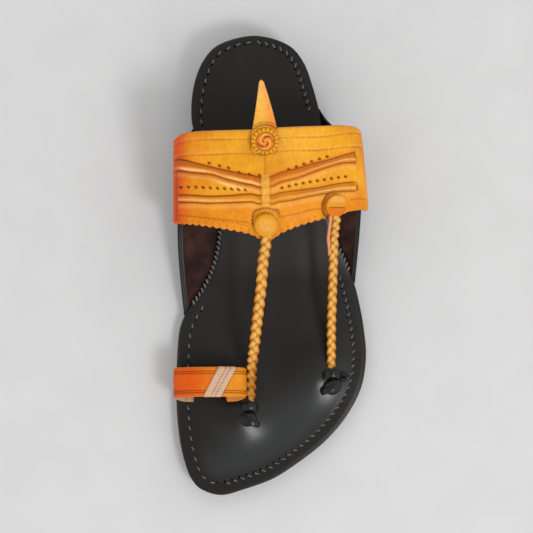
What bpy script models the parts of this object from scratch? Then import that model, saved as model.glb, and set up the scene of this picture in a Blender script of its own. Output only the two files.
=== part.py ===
"""A kolhapuri sandal for the left foot, built from its separate leather pieces.

Metres, +Z up. +Y runs from heel to toe and +X points to the big-toe side. The origin is on the
floor, under the middle of the heel. "Along" is the distance forward from the back of the heel.
"""

import math

import bmesh
import bpy
import numpy as np
from mathutils import Matrix

# Driving dimensions of the sole
SOLE_LENGTH = 0.280
BALL_WIDTH = 0.116
HEEL_CENTRE = 0.036
HEEL_BREAST = 0.066
HEEL_HEIGHT = 0.016
HEEL_LIFTS = 3
HEEL_TAPER = 0.0006
BALL_START_SHARE = 0.536
BALL_END_SHARE = 0.768
TOE_SPRING = 0.006
OUTSOLE_THICK = 0.0045
INSOLE_THICK = 0.0040
EDGE_ROUND = 0.0008
OUTLINE_STEPS = 3
SEAM_GAP = 0.0003

# The ears, the two side flaps that are held between insole and outsole
EAR_THICK = 0.0022
EAR_FLANGE = 0.008
EAR_BEND = 0.0020
EAR_CLEAR = 0.0005
EAR_RISE = 0.026
EAR_LEAN_SHARE = 0.75
EAR_LEAN_LIMITS_DEG = (25.0, 72.0)
EAR_FOOT_PULL_SHARE = 0.30
EAR_TOP_PULL_SHARE = 0.34
EAR_RAKE_SHARES = {
    # side: how soon the rear and the front rim reach their top's place along the sandal
    "medial": (0.80, 1.05),
    "lateral": (0.72, 1.30),
}

# The instep band
BAND_THICK = 0.0028
BAND_TAB = 0.013
BAND_TAB_GAP = 0.0005
BAND_MEDIAL_REACH = 0.0475
BAND_LATERAL_REACH_REAR = 0.0615
BAND_LATERAL_REACH = 0.0665
CROWN_RISE_REAR = 0.061
CROWN_RISE_FRONT = 0.051
CROWN_ACROSS_SHARE = 0.07
CROWN_POWER_MEDIAL = 2.3
CROWN_POWER_LATERAL = 2.0

# What is fixed on the band
STRIP_WIDTH = 0.0050
STRIP_STEP = 0.0012
WING_STEP = 0.0009
BUTTON_RADIUS = 0.0072
BUTTON_THICK = 0.0036
BUTTON_CROWN_SHARE = 0.25
BUTTON_FROM_EDGE = 0.0083
LATERAL_BUTTON_ACROSS_SHARE = -0.63
LATERAL_BUTTON_FROM_EDGE = 0.0078
ROSETTE_RADIUS = 0.0080
ROSETTE_THICK = 0.0026
ROSETTE_CROWN_SHARE = 0.30
ROSETTE_FROM_EDGE = 0.0040
SPIKE_ROOT = 0.0104
SPIKE_LENGTH = 0.033
SPIKE_TIP_SHARE = 0.10
SPIKE_WIDTH = 0.0140
SPIKE_THICK = 0.0024
SPIKE_LIFT_DEG = 33.0
SPIKE_TURN_SHARE = 0.13
SPIKE_STEPS = 6

# The braids
BRAID_WIDTH = 0.0070
BRAID_THICK = 0.0038
BRAID_PITCH = 0.0064
BRAID_RELIEF = 0.0006
BRAID_TAIL_THICK = 0.0018
BRAID_TAIL_LENGTH = 0.0085
BRAID_STEPS = 8
BRAID_TURN_START_SHARE = 0.66
BRAID_TURN_LENGTH_SHARE = 0.16

# The toe ring
RING_ALONG_SHARE = 0.7518
RING_MEDIAL_SHARE = 0.4207
RING_LATERAL_SHARE = 0.0362
RING_WIDTH = 0.0165
RING_THICK = 0.0020
RING_RISE = 0.0260
RING_LEAN = 0.0035
RING_OPENING_DEG = 37.0
RING_POWER = 0.9
RING_FOOT_TURN = 0.0022
RING_STEPS = 33
STRIPE_STEP = 0.0005
STRIPE_WIDTH = 0.0115
STRIPE_SLANT = 0.0085
STRIPE_START_SHARE = 0.42

# The black thongs that hold the braids in the insole, and their knots
THONG_WIDTH = 0.0050
THONG_THICK = 0.0016
THONG_SPAN = 0.0125
THONG_RISE = 0.0072
THONG_POWER = 0.8
KNOT_LENGTH = 0.0110
KNOT_WIDTH = 0.0125
KNOT_HEIGHT = 0.0070
KNOT_TAB_LENGTH = 0.0100
KNOT_TAB_WIDTH = 0.0055
KNOT_TAB_THICK = 0.0022

# Outline of the sole from heel to toe. along is a share of SOLE_LENGTH; medial and lateral are
# shares of BALL_WIDTH, counted from the heel's axis towards the big toe.
SOLE_ROWS = (
    # along, medial, lateral
    (0.000, -0.004, -0.004),
    (0.018, 0.174, -0.173),
    (0.056, 0.265, -0.260),
    (0.113, 0.315, -0.312),
    (0.178, 0.325, -0.351),
    (0.225, 0.296, -0.360),
    (0.275, 0.235, -0.369),
    (0.330, 0.187, -0.384),
    (0.385, 0.174, -0.402),
    (0.440, 0.181, -0.440),
    (0.495, 0.208, -0.503),
    (0.545, 0.261, -0.547),
    (0.590, 0.333, -0.573),
    (0.635, 0.383, -0.592),
    (0.700, 0.399, -0.605),
    (0.770, 0.404, -0.577),
    (0.835, 0.398, -0.492),
    (0.890, 0.382, -0.372),
    (0.935, 0.355, -0.228),
    (0.966, 0.323, -0.105),
    (0.988, 0.270, 0.045),
    (1.000, 0.167, 0.167),
)

# Where each ear leaves the sole and where its top runs, as shares of SOLE_LENGTH
EAR_SPANS = {
    # side: (base rear, base front, top rear, top front)
    "medial": (0.204, 0.607, 0.240, 0.398),
    "lateral": (0.170, 0.536, 0.221, 0.371),
}

# Rear and front edges of the band, as shares of SOLE_LENGTH, from the medial end (1) to the lateral (-1)
BAND_ROWS = (
    # across, rear, front
    (-1.00, 0.2180, 0.3760),
    (-0.93, 0.2105, 0.3755),
    (-0.80, 0.2090, 0.3790),
    (-0.55, 0.2120, 0.3905),
    (-0.30, 0.2145, 0.4050),
    (-0.08, 0.2170, 0.4230),
    (0.02, 0.2190, 0.4370),
    (0.12, 0.2210, 0.4370),
    (0.22, 0.2215, 0.4260),
    (0.50, 0.2225, 0.4140),
    (0.80, 0.2235, 0.4050),
    (0.93, 0.2270, 0.4025),
    (1.00, 0.2360, 0.4010),
)

# The four raised wing strips: where each starts and ends across the band, and its rear and front
# borders at both ends as shares of the band's width
WINGS = {
    # name: (inner across, outer across, inner rear, inner front, outer rear, outer front)
    "wing_rear_medial": (0.090, 0.900, 0.41, 0.50, 0.29, 0.42),
    "wing_rear_lateral": (0.050, -0.860, 0.41, 0.50, 0.30, 0.43),
    "wing_front_medial": (0.090, 0.900, 0.59, 0.65, 0.69, 0.78),
    "wing_front_lateral": (0.050, -0.860, 0.59, 0.65, 0.66, 0.76),
}

# Where the thongs sit: shares of BALL_WIDTH from the heel's axis and of SOLE_LENGTH from its back
THONG_SPOTS = {
    # braid: (x, along)
    "centre": (0.0207, 0.8079),
    "lateral": (-0.4181, 0.7375),
}

# How the braids run over the foot from their buttons on the band: x as a share of BALL_WIDTH,
# along as a share of SOLE_LENGTH, height above the insole as a share of CROWN_RISE_FRONT
BRAID_ROWS = {
    "centre": (
        # x, along, height
        (-0.0345, 0.4893, 0.941),
        (-0.0267, 0.5429, 0.863),
        (-0.0026, 0.6504, 0.588),
        (0.0103, 0.7243, 0.294),
        (0.0121, 0.7911, 0.075),
    ),
    "lateral": (
        # x, along, height
        (-0.4017, 0.4429, 0.726),
        (-0.4052, 0.4929, 0.618),
        (-0.4070, 0.5571, 0.471),
        (-0.4086, 0.6286, 0.294),
        (-0.4181, 0.7214, 0.024),
    ),
}

# The domed top of a stud, ring by ring towards its middle
DOME_ROWS = (
    # inset as a share of the radius, rise as a share of the crown
    (0.25, 0.65),
    (0.35, 0.35),
)

# Colours, roughness and metallic value of the leathers and the rubber
FINISHES = {
    # name: (red, green, blue, roughness, metallic)
    "black_leather": (0.020, 0.019, 0.020, 0.42, 0.0),
    "black_sole_edge": (0.014, 0.012, 0.012, 0.50, 0.0),
    "brown_ear_leather": (0.045, 0.020, 0.018, 0.60, 0.0),
    "orange_leather": (0.870, 0.330, 0.035, 0.45, 0.0),
    "black_rubber": (0.018, 0.018, 0.018, 0.75, 0.0),
}


def smooth(at, knots, values):
    """Value at a place of a smooth curve through a table's column, with no overshoot between rows."""
    at, knots, values = (np.asarray(a, float) for a in (at, knots, values))
    step = np.diff(knots)
    slope = np.diff(values) / step
    tangent = np.zeros_like(values)
    tangent[0], tangent[-1] = slope[0], slope[-1]
    rising = slope[:-1] * slope[1:] > 0
    safe = np.where(rising, slope[:-1] + slope[1:], 1.0)
    tangent[1:-1] = np.where(rising, 2 * slope[:-1] * slope[1:] / safe, 0.0)
    i = np.clip(np.searchsorted(knots, at) - 1, 0, len(step) - 1)
    t = np.clip((at - knots[i]) / step[i], 0, 1)
    return (
        (1 + 2 * t) * (1 - t) ** 2 * values[i]
        + t * (1 - t) ** 2 * step[i] * tangent[i]
        + t * t * (3 - 2 * t) * values[i + 1]
        + t * t * (t - 1) * step[i] * tangent[i + 1]
    )


def through(points, per_span):
    """Catmull-Rom curve through points, with per_span steps between two of them."""
    points = np.asarray(points, float)
    ends = np.vstack([2 * points[0] - points[1], points, 2 * points[-1] - points[-2]])
    return catmull(ends, per_span)


def catmull(ghosted, per_span):
    """Catmull-Rom curve through all rows but the first and last, which only steer it."""
    t = np.linspace(0, 1, per_span, endpoint=False)[:, None]
    spans = []
    for a, b, c, d in zip(ghosted, ghosted[1:], ghosted[2:], ghosted[3:]):
        spans.append(
            0.5 * (2 * b + (c - a) * t + (2 * a - 5 * b + 4 * c - d) * t**2 + (3 * b - a - 3 * c + d) * t**3)
        )
    return np.vstack(spans + [ghosted[-2][None]])


def unit(vectors):
    """Vectors scaled to length one."""
    return vectors / np.linalg.norm(vectors, axis=-1, keepdims=True)


def outline(per_span):
    """Rows of along, medial x and lateral x round the sole, closing in a smooth round at both ends."""
    rows = np.array(SOLE_ROWS) * (SOLE_LENGTH, BALL_WIDTH, BALL_WIDTH)
    heel_ghost = rows[1][[0, 2, 1]] * (-1, 1, 1) + (2 * rows[0][0], 0, 0)
    heel_ghost[0] = rows[1][0]
    toe_ghost = rows[-2][[0, 2, 1]]
    return catmull(np.vstack([heel_ghost, rows, toe_ghost]), per_span)


EDGE = outline(OUTLINE_STEPS)


def edge_x(side, along):
    """Distance of the sole's edge from the heel's axis, at a place along it."""
    return np.interp(along, EDGE[:, 0], EDGE[:, 1 if side == "medial" else 2])


def edge_normal(side, along):
    """Outward direction of the sole's edge in plan, as arrays of x and along."""
    reach = 0.002
    slope = (edge_x(side, along + reach) - edge_x(side, along - reach)) / (2 * reach)
    sign = 1.0 if side == "medial" else -1.0
    length = np.sqrt(1 + slope**2)
    return sign / length, -sign * slope / length


def outsole_bottom(along):
    """Height of the outsole's underside: over the heel, down the waist, flat at the ball, up at the toe."""
    ball_start, ball_end = BALL_START_SHARE * SOLE_LENGTH, BALL_END_SHARE * SOLE_LENGTH
    waist = np.clip((along - HEEL_BREAST) / (ball_start - HEEL_BREAST), 0, 1)
    toe = np.clip((along - ball_end) / (SOLE_LENGTH - ball_end), 0, 1)
    return HEEL_HEIGHT * (1 - waist**2 * (3 - 2 * waist)) + TOE_SPRING * toe**2


def outsole_top(along):
    """Height of the outsole's upper face."""
    return outsole_bottom(along) + OUTSOLE_THICK


def insole_bottom(along):
    """Height of the insole's underside, just over the outsole."""
    return outsole_top(along) + SEAM_GAP


def insole_top(along):
    """Height of the face that the foot stands on."""
    return insole_bottom(along) + INSOLE_THICK


def place(x, along, z):
    """Points in the part's frame from x, the distance from the heel's back, and the height."""
    x, along, z = np.broadcast_arrays(x, along, z)
    return np.stack([x, along - HEEL_CENTRE, z], axis=-1)


def material(name):
    """The Principled material of a named finish."""
    found = bpy.data.materials.get(name)
    if found:
        return found
    red, green, blue, roughness, metallic = FINISHES[name]
    made = bpy.data.materials.new(name)
    made.use_nodes = True
    shader = made.node_tree.nodes["Principled BSDF"]
    shader.inputs["Base Color"].default_value = (red, green, blue, 1)
    shader.inputs["Roughness"].default_value = roughness
    shader.inputs["Metallic"].default_value = metallic
    made.diffuse_color = (red, green, blue, 1)
    return made


def add_object(name, mesh, finish=None):
    """Puts a mesh in the sandal's collection, or with no finish among the cutters."""
    made = bpy.data.objects.new(name, mesh)
    if finish:
        made.data.materials.append(material(finish))
        SANDAL.objects.link(made)
    else:
        made.hide_render = True
        made.display_type = "WIRE"
        CUTTERS.objects.link(made)
    return made


def sheet(name, grid, finish, thickness, offset=0.0):
    """An open surface through a grid of points, thickened into a shell. Offset 1 adds outwards."""
    rows, columns = grid.shape[:2]
    index = np.arange(rows * columns).reshape(rows, columns)
    quads = np.stack([index[:-1, :-1], index[:-1, 1:], index[1:, 1:], index[1:, :-1]], -1)
    mesh = bpy.data.meshes.new(name)
    mesh.from_pydata(grid.reshape(-1, 3).tolist(), [], quads.reshape(-1, 4).tolist())
    mesh.validate()
    made = add_object(name, mesh, finish)
    solidify = made.modifiers.new("wall", "SOLIDIFY")
    solidify.thickness = thickness
    solidify.offset = offset
    solidify.use_even_offset = True
    shade(made)
    return made


def slab(name, rows, bottom, thickness, finish, rounding=0.0):
    """A flat layer of the sole: the outline's rows filled across, bent to a height, and raised."""
    along = rows[:, 0]
    grid = place(rows[:, 1:], along[:, None], bottom(along)[:, None])
    count, across = grid.shape[:2]
    index = np.arange(count * across).reshape(count, across)
    quads = np.stack([index[:-1, :-1], index[1:, :-1], index[1:, 1:], index[:-1, 1:]], -1)
    mesh = bpy.data.meshes.new(name)
    mesh.from_pydata(grid.reshape(-1, 3).tolist(), [], quads.reshape(-1, 4).tolist())
    shape = bmesh.new()
    shape.from_mesh(mesh)
    bmesh.ops.remove_doubles(shape, verts=shape.verts[:], dist=1e-6)
    raised = bmesh.ops.extrude_face_region(shape, geom=shape.faces[:])
    tops = [v for v in raised["geom"] if isinstance(v, bmesh.types.BMVert)]
    bmesh.ops.translate(shape, verts=tops, vec=(0, 0, thickness))
    bmesh.ops.recalc_face_normals(shape, faces=shape.faces[:])
    shape.to_mesh(mesh)
    shape.free()
    made = add_object(name, mesh, finish)
    if rounding:
        bevel = made.modifiers.new("rounded edge", "BEVEL")
        bevel.width = rounding
        bevel.segments = 1
        bevel.limit_method = "ANGLE"
        bevel.angle_limit = math.radians(50)
    shade(made)
    return made


def shade(made):
    """Smooth shading that keeps the corners of a leather edge sharp."""
    made.data.shade_smooth()
    made.data.set_sharp_from_angle(angle=math.radians(40))


def join_in(made, cutter, operation):
    """Adds a Boolean modifier of a cutter or of a piece that is fused on."""
    boolean = made.modifiers.new(operation.lower(), "BOOLEAN")
    boolean.operation = operation
    boolean.object = cutter
    return made


def heel():
    """The stacked heel: leather lifts over a rubber top piece, each a little smaller towards the floor."""
    thick = (HEEL_HEIGHT - HEEL_LIFTS * SEAM_GAP) / HEEL_LIFTS
    rows = EDGE[EDGE[:, 0] < HEEL_BREAST - SEAM_GAP]
    last = [HEEL_BREAST, edge_x("medial", HEEL_BREAST), edge_x("lateral", HEEL_BREAST)]
    rows = np.vstack([rows, last])
    for lift in range(HEEL_LIFTS):
        taper = 1 - HEEL_TAPER * (HEEL_LIFTS - lift) / HEEL_CENTRE
        shrunk = np.column_stack([HEEL_CENTRE + (rows[:, 0] - HEEL_CENTRE) * taper, rows[:, 1:] * taper])
        base = lift * (thick + SEAM_GAP)
        name = "heel_top_piece" if lift == 0 else f"heel_lift_{lift}"
        finish = "black_rubber" if lift == 0 else "black_sole_edge"
        slab(name, shrunk, lambda along, base=base: np.full_like(along, base), thick, finish)


def ear_profile(side, share):
    """Cross-sections of an ear's middle surface, from the flange in the sole up to its top edge."""
    sign = 1.0 if side == "medial" else -1.0
    spans = np.array(EAR_SPANS[side]) * SOLE_LENGTH
    base_along = spans[0] + (spans[1] - spans[0]) * share
    top_along = spans[2] + (spans[3] - spans[2]) * share
    normal_x, normal_along = edge_normal(side, base_along)
    foot_x = edge_x(side, base_along)

    def beside(outward, height):
        along = base_along + normal_along * outward
        ledge = outsole_top(along) + SEAM_GAP + EAR_THICK / 2
        return place(foot_x + normal_x * outward, along, ledge + height)

    rear, front = (edge[0] for edge in band_edges(np.array([sign])))
    reach = band_reach(side, np.clip((top_along - rear) / (front - rear), 0, 1))
    top_x = sign * (reach - BAND_THICK / 2 - BAND_TAB_GAP - EAR_THICK / 2)
    top = place(top_x, top_along, insole_top(top_along) + EAR_RISE)
    start = beside(EAR_CLEAR, 0.0)
    chord = top - start
    steepness = np.arctan2(chord[..., 2], np.abs(chord[..., 0])) * EAR_LEAN_SHARE
    lift_angle = np.clip(steepness, *np.radians(EAR_LEAN_LIMITS_DEG))
    sections = [beside(-EAR_FLANGE, 0.0), beside(-EAR_FLANGE / 2, 0.0), start]
    for turn in (0.5, 1.0):
        angle = lift_angle * turn
        sections.append(beside(EAR_CLEAR + EAR_BEND * np.sin(angle), EAR_BEND * (1 - np.cos(angle))))
    leave = sections[-1]
    span = np.linalg.norm(top - leave, axis=-1, keepdims=True)
    out = np.stack([normal_x * np.cos(lift_angle), np.zeros_like(share), np.sin(lift_angle)], -1)
    before = leave + out * span * EAR_FOOT_PULL_SHARE
    rake_rear, rake_front = EAR_RAKE_SHARES[side]
    rake = rake_rear + (rake_front - rake_rear) * share
    before[..., 1] = leave[..., 1] + (top[..., 1] - leave[..., 1]) * rake
    after = top - span * (0, 0, EAR_TOP_PULL_SHARE)
    for t in np.linspace(0, 1, 6)[1:]:
        sections.append(
            (1 - t) ** 3 * leave + 3 * t * (1 - t) ** 2 * before + 3 * t * t * (1 - t) * after + t**3 * top
        )
    return np.stack(sections, axis=1)


def ear(side):
    """One side flap: its flange lies between insole and outsole, and it rises to carry the band."""
    share = (1 - np.cos(np.linspace(0, np.pi, 15))) / 2
    grid = ear_profile(side, share)
    if side == "medial":
        grid = grid[::-1]
    return sheet(f"ear_{side}", grid, "brown_ear_leather", EAR_THICK)


def flange_pocket(side):
    """Cutter for the recess in the insole's underside that an ear's flange fills."""
    spans = np.array(EAR_SPANS[side]) * SOLE_LENGTH
    share = np.linspace(0, 1, 25)
    along = spans[0] - SEAM_GAP + (spans[1] - spans[0] + 2 * SEAM_GAP) * share
    normal_x, normal_along = edge_normal(side, along)
    columns = []
    for outward in (-EAR_FLANGE - SEAM_GAP, EAR_FLANGE / 2):
        y = along + normal_along * outward
        columns.append(place(edge_x(side, along) + normal_x * outward, y, outsole_top(y) + SEAM_GAP / 2))
    grid = np.stack(columns, axis=1)
    if side == "medial":
        grid = grid[::-1]
    return sheet(f"pocket_{side}", grid, None, EAR_THICK + SEAM_GAP * 1.5, offset=-1.0)


class EarSkin:
    """Lookup of an ear's middle surface: its x at a place along the sandal and a height."""

    def __init__(self, side):
        self.sections = ear_profile(side, np.linspace(0, 1, 41))[:, 4:]

    def x(self, along, height):
        """x of the middle surface; past the rims it follows the last section."""
        y, z = np.broadcast_arrays(np.asarray(along, float) - HEEL_CENTRE, np.asarray(height, float))
        found = np.empty(y.shape)
        for i in np.ndindex(y.shape):
            at_y = [np.interp(z[i], s[:, 2], s[:, 1]) for s in self.sections]
            at_x = [np.interp(z[i], s[:, 2], s[:, 0]) for s in self.sections]
            found[i] = np.interp(y[i], at_y, at_x)
        return found

    def outer(self, side, along, height, lift):
        """Points that stand off the skin by a distance, on its outer side."""
        step = 0.001
        slope_y = (self.x(along + step, height) - self.x(along - step, height)) / (2 * step)
        slope_z = (self.x(along, height + step) - self.x(along, height - step)) / (2 * step)
        sign = 1.0 if side == "medial" else -1.0
        normal = unit(np.stack([np.ones_like(slope_y), -slope_y, -slope_z], -1)) * sign
        return place(self.x(along, height), along, height) + normal * lift


def band_edges(across):
    """Distances along the sandal of the band's rear and front edges."""
    table = np.array(BAND_ROWS)
    rear, front = (smooth(across, table[:, 0], table[:, k]) * SOLE_LENGTH for k in (1, 2))
    return rear, front


def band_reach(side, share):
    """Distance of the band's widest line from the heel's axis, from its rear edge to its front edge."""
    if side == "medial":
        return np.full_like(share, BAND_MEDIAL_REACH)
    return BAND_LATERAL_REACH_REAR + (BAND_LATERAL_REACH - BAND_LATERAL_REACH_REAR) * share


def band_arch(across, share):
    """Middle surface of the band over the foot; share 0 is its rear edge and 1 its front edge."""
    across, share = np.broadcast_arrays(np.asarray(across, float), np.asarray(share, float))
    rear, front = band_edges(across)
    along = rear + (front - rear) * share
    rear_end, front_end = band_edges(np.array([-1.0, 1.0]))
    end_along = rear_end[:, None] + (front_end - rear_end)[:, None] * share.ravel()
    low = insole_top(end_along) + EAR_RISE
    lateral_low, medial_low = low[0].reshape(share.shape), low[1].reshape(share.shape)
    base = lateral_low + (medial_low - lateral_low) * (across + 1) / 2
    rear_crown = insole_top(rear) + CROWN_RISE_REAR
    front_crown = insole_top(front) + CROWN_RISE_FRONT
    crown = rear_crown + (front_crown - rear_crown) * share
    lateral_reach = band_reach("lateral", share)
    middle = (BAND_MEDIAL_REACH - lateral_reach) / 2
    half = (BAND_MEDIAL_REACH + lateral_reach) / 2
    medial = across > CROWN_ACROSS_SHARE
    power = np.where(medial, CROWN_POWER_MEDIAL, CROWN_POWER_LATERAL)
    reach = np.where(medial, 1 - CROWN_ACROSS_SHARE, 1 + CROWN_ACROSS_SHARE)
    from_crown = np.abs(across - CROWN_ACROSS_SHARE) / reach
    rise = np.clip(1 - np.minimum(from_crown, 1) ** power, 0, 1) ** (1 / power)
    return place(middle + half * across, along, base + (crown - base) * rise)


def band_point(across, share, lift):
    """A point that stands off the band's middle surface, and the outward direction there."""
    step = 0.004
    here = band_arch(across, share)
    sideways = band_arch(across + step, share) - band_arch(across - step, share)
    forward = band_arch(across, share + step) - band_arch(across, share - step)
    outward = unit(np.cross(sideways, forward))
    return here + outward * lift, outward


def instep_band():
    """The broad strap over the instep, with both ends running down outside the ears."""
    share = np.linspace(0, 1, 9)
    angles = np.linspace(-np.pi / 2, np.pi / 2, 33)
    reach = np.where(angles > 0, 1 - CROWN_ACROSS_SHARE, 1 + CROWN_ACROSS_SHARE)
    across = CROWN_ACROSS_SHARE + reach * np.sin(angles)
    arch = band_arch(across[:, None], share[None, :])
    tabs = {}
    for side, end in (("lateral", 0), ("medial", -1)):
        skin = EarSkin(side)
        along = arch[end, :, 1] + HEEL_CENTRE
        lift = EAR_THICK / 2 + BAND_TAB_GAP + BAND_THICK / 2
        depths = np.linspace(1, 0.25, 4)[:, None] * BAND_TAB
        heights = arch[end, :, 2][None, :] - depths
        tabs[side] = skin.outer(side, np.broadcast_to(along, heights.shape), heights, lift)
    grid = np.concatenate([tabs["lateral"], arch, tabs["medial"][::-1]], axis=0)
    band = sheet("instep_band", grid, "orange_leather", BAND_THICK)
    centre_strip(band)
    wing_strips(band)
    return band


def raised_on(band, name, across_grid, share_grid, step):
    """Fuses a strip that stands up from the band's outer face by a step."""
    root = BAND_THICK / 2
    points, _ = band_point(across_grid, share_grid, (root + step) / 2)
    strip = sheet(name, points, None, BAND_THICK - root + step)
    join_in(band, strip, "UNION")


def centre_strip(band):
    """The narrow strip down the band's middle, from the rosette to the front button."""
    rear, front = band_edges(np.array([CROWN_ACROSS_SHARE]))
    width = (front - rear)[0]
    start = (ROSETTE_FROM_EDGE + ROSETTE_RADIUS + SEAM_GAP * 2) / width
    end = 1 - (BUTTON_FROM_EDGE + BUTTON_RADIUS + SEAM_GAP * 2) / width
    half = STRIP_WIDTH / (BAND_MEDIAL_REACH + BAND_LATERAL_REACH)
    across = np.linspace(CROWN_ACROSS_SHARE - half, CROWN_ACROSS_SHARE + half, 3)[:, None]
    share = np.linspace(start, end, 9)[None, :]
    raised_on(band, "centre_strip", *np.broadcast_arrays(across, share), STRIP_STEP)


def wing_strips(band):
    """Four folded strips that fan out from the centre strip to the band's ends."""
    for name, (inner, outer, rear_in, front_in, rear_out, front_out) in WINGS.items():
        run = np.linspace(0, 1, 11)[:, None]
        across = inner + (outer - inner) * run
        rear = rear_in + (rear_out - rear_in) * run
        front = front_in + (front_out - front_in) * run
        share = rear + (front - rear) * np.linspace(0, 1, 2)[None, :]
        if outer < inner:
            across, share = across[::-1], share[::-1]
        raised_on(band, name, np.broadcast_to(across, share.shape), share, WING_STEP)


def disc(name, centre, outward, radius, thickness, crown):
    """A round leather stud with a domed top, lying against the band."""
    shape = bmesh.new()
    bmesh.ops.create_cone(
        shape, cap_ends=True, segments=28, radius1=radius, radius2=radius, depth=thickness * (1 - crown)
    )
    top = max(shape.faces, key=lambda f: f.calc_center_median().z)
    for inset, rise in DOME_ROWS:
        bmesh.ops.inset_region(shape, faces=[top], thickness=radius * inset)
        bmesh.ops.translate(shape, verts=top.verts[:], vec=(0, 0, thickness * crown * rise))
    mesh = bpy.data.meshes.new(name)
    shape.to_mesh(mesh)
    shape.free()
    made = add_object(name, mesh, "orange_leather")
    made.rotation_mode = "QUATERNION"
    made.rotation_quaternion = facing(outward)
    made.location = centre + outward * thickness * (1 - crown) / 2
    shade(made)
    return made


def facing(outward):
    """Rotation that turns +Z to a direction while keeping +Y roughly forward."""
    z = outward / np.linalg.norm(outward)
    x = np.cross((0.0, 1.0, 0.0), z)
    x /= np.linalg.norm(x)
    y = np.cross(z, x)
    return Matrix(np.column_stack([x, y, z]).tolist()).to_quaternion()


def channel(name, path, width, height, across):
    """Cutter for the groove under a button in which a braid's end lies."""
    return sheet(name, ribbon(path, width, 2, across), None, height)


def ribbon(path, width, columns, across=(1.0, 0.0, 0.0)):
    """Grid of points of a flat strap along a path; across is one direction or one for each point."""
    path = np.asarray(path, float)
    along = unit(np.gradient(path, axis=0))
    across = np.broadcast_to(np.asarray(across, float), path.shape)
    across = unit(across - along * np.sum(across * along, axis=1, keepdims=True))
    shares = np.linspace(-0.5, 0.5, columns)
    width = np.broadcast_to(np.asarray(width, float), (len(path),))
    return path[:, None] + across[:, None] * (width[:, None] * shares[None, :])[..., None]


def braid_start(across, from_edge):
    """Where a braid lies on the band: under its button, and over the band's front edge."""
    rear, front = band_edges(np.array([across]))
    lift = BAND_THICK / 2 + SEAM_GAP + BRAID_TAIL_THICK / 2
    under, outward = band_point(np.array([across]), 1 - from_edge / (front - rear), lift)
    edge, _ = band_point(np.array([across]), np.array([1.0]), lift + (BRAID_THICK - BRAID_TAIL_THICK) / 2)
    return under[0], edge[0], outward[0]


def braid_path(start, past, rows):
    """Middle line of a braid that lies on the band and then follows the rows of its table."""
    x, along, height = (np.array(rows) * (BALL_WIDTH, SOLE_LENGTH, CROWN_RISE_FRONT)).T
    free = place(x, along, insole_top(along) + height)
    return through(np.vstack([start, past, free]), BRAID_STEPS)


def resample(path, step):
    """Points at even distances along a path."""
    length = np.concatenate([[0], np.cumsum(np.linalg.norm(np.diff(path, axis=0), axis=1))])
    count = int(round(length[-1] / step)) + 1
    at = np.linspace(0, length[-1], count)
    return np.stack([np.interp(at, length, path[:, k]) for k in range(3)], axis=1), at


def braid(name, path, seat_across, turn_deg):
    """A flat three-strand braid: a strap whose faces carry slanting lobes, twisted towards its end."""
    points, distance = resample(path, BRAID_PITCH / 4)
    along = unit(np.gradient(points, axis=0))
    share = (distance / distance[-1])[:, None]
    wide = seat_across + (np.array((1.0, 0.0, 0.0)) - seat_across) * np.clip(share * 3 - 0.3, 0, 1)
    wide = unit(wide - along * np.sum(wide * along, axis=1, keepdims=True))
    thick = np.cross(along, wide)
    turned = np.clip((share[:, 0] - BRAID_TURN_START_SHARE) / BRAID_TURN_LENGTH_SHARE, 0, 1)
    twist = np.radians(turn_deg) * turned
    wide, thick = (
        wide * np.cos(twist)[:, None] + thick * np.sin(twist)[:, None],
        thick * np.cos(twist)[:, None] - wide * np.sin(twist)[:, None],
    )
    from_button = (distance - BRAID_TAIL_LENGTH) / BRAID_TAIL_LENGTH
    from_thong = (distance[-1] - distance) / BRAID_TAIL_LENGTH
    tail = np.clip(np.minimum(from_button, from_thong), 0, 1)
    depth = BRAID_TAIL_THICK + (BRAID_THICK - BRAID_TAIL_THICK) * tail
    angles = np.linspace(0, 2 * np.pi, 8, endpoint=False)
    side, face = np.cos(angles), np.sin(angles)
    phase = distance[:, None] / BRAID_PITCH - 0.5 * np.abs(side)[None, :] + 0.5 * (side < 0)[None, :]
    lobe = np.abs(np.sin(np.pi * phase)) * BRAID_RELIEF * tail[:, None]
    half_width = (BRAID_WIDTH / 2 - BRAID_RELIEF + lobe) * side[None, :]
    half_depth = (depth[:, None] / 2 - BRAID_RELIEF * tail[:, None] + lobe) * face[None, :]
    ring = points[:, None] + wide[:, None] * half_width[..., None] + thick[:, None] * half_depth[..., None]
    return tube(name, ring, "orange_leather")


def tube(name, rings, finish):
    """A closed tube through rings of points, with a flat face at each end."""
    count, around = rings.shape[:2]
    index = np.arange(count * around).reshape(count, around)
    after = np.roll(index, -1, axis=1)
    quads = np.stack([index[:-1], after[:-1], after[1:], index[1:]], -1).reshape(-1, 4).tolist()
    faces = quads + [index[0][::-1].tolist(), index[-1].tolist()]
    mesh = bpy.data.meshes.new(name)
    mesh.from_pydata(rings.reshape(-1, 3).tolist(), [], faces)
    shape = bmesh.new()
    shape.from_mesh(mesh)
    bmesh.ops.recalc_face_normals(shape, faces=shape.faces[:])
    shape.to_mesh(mesh)
    shape.free()
    made = add_object(name, mesh, finish)
    shade(made)
    return made


def box_cutter(name, size, centre):
    """A box-shaped cutter."""
    shape = bmesh.new()
    bmesh.ops.create_cube(shape, size=1.0)
    bmesh.ops.scale(shape, vec=size, verts=shape.verts[:])
    bmesh.ops.translate(shape, vec=centre, verts=shape.verts[:])
    mesh = bpy.data.meshes.new(name)
    shape.to_mesh(mesh)
    shape.free()
    return add_object(name, mesh)


def slot(name, x, along, thick, wide):
    """Cutter for a slit through the insole."""
    floor = outsole_top(along)
    size = (thick + 2 * SEAM_GAP, wide + 2 * SEAM_GAP, 2 * INSOLE_THICK)
    return box_cutter(name, size, place(x, along, floor + SEAM_GAP / 2 + size[2] / 2).tolist())


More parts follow.
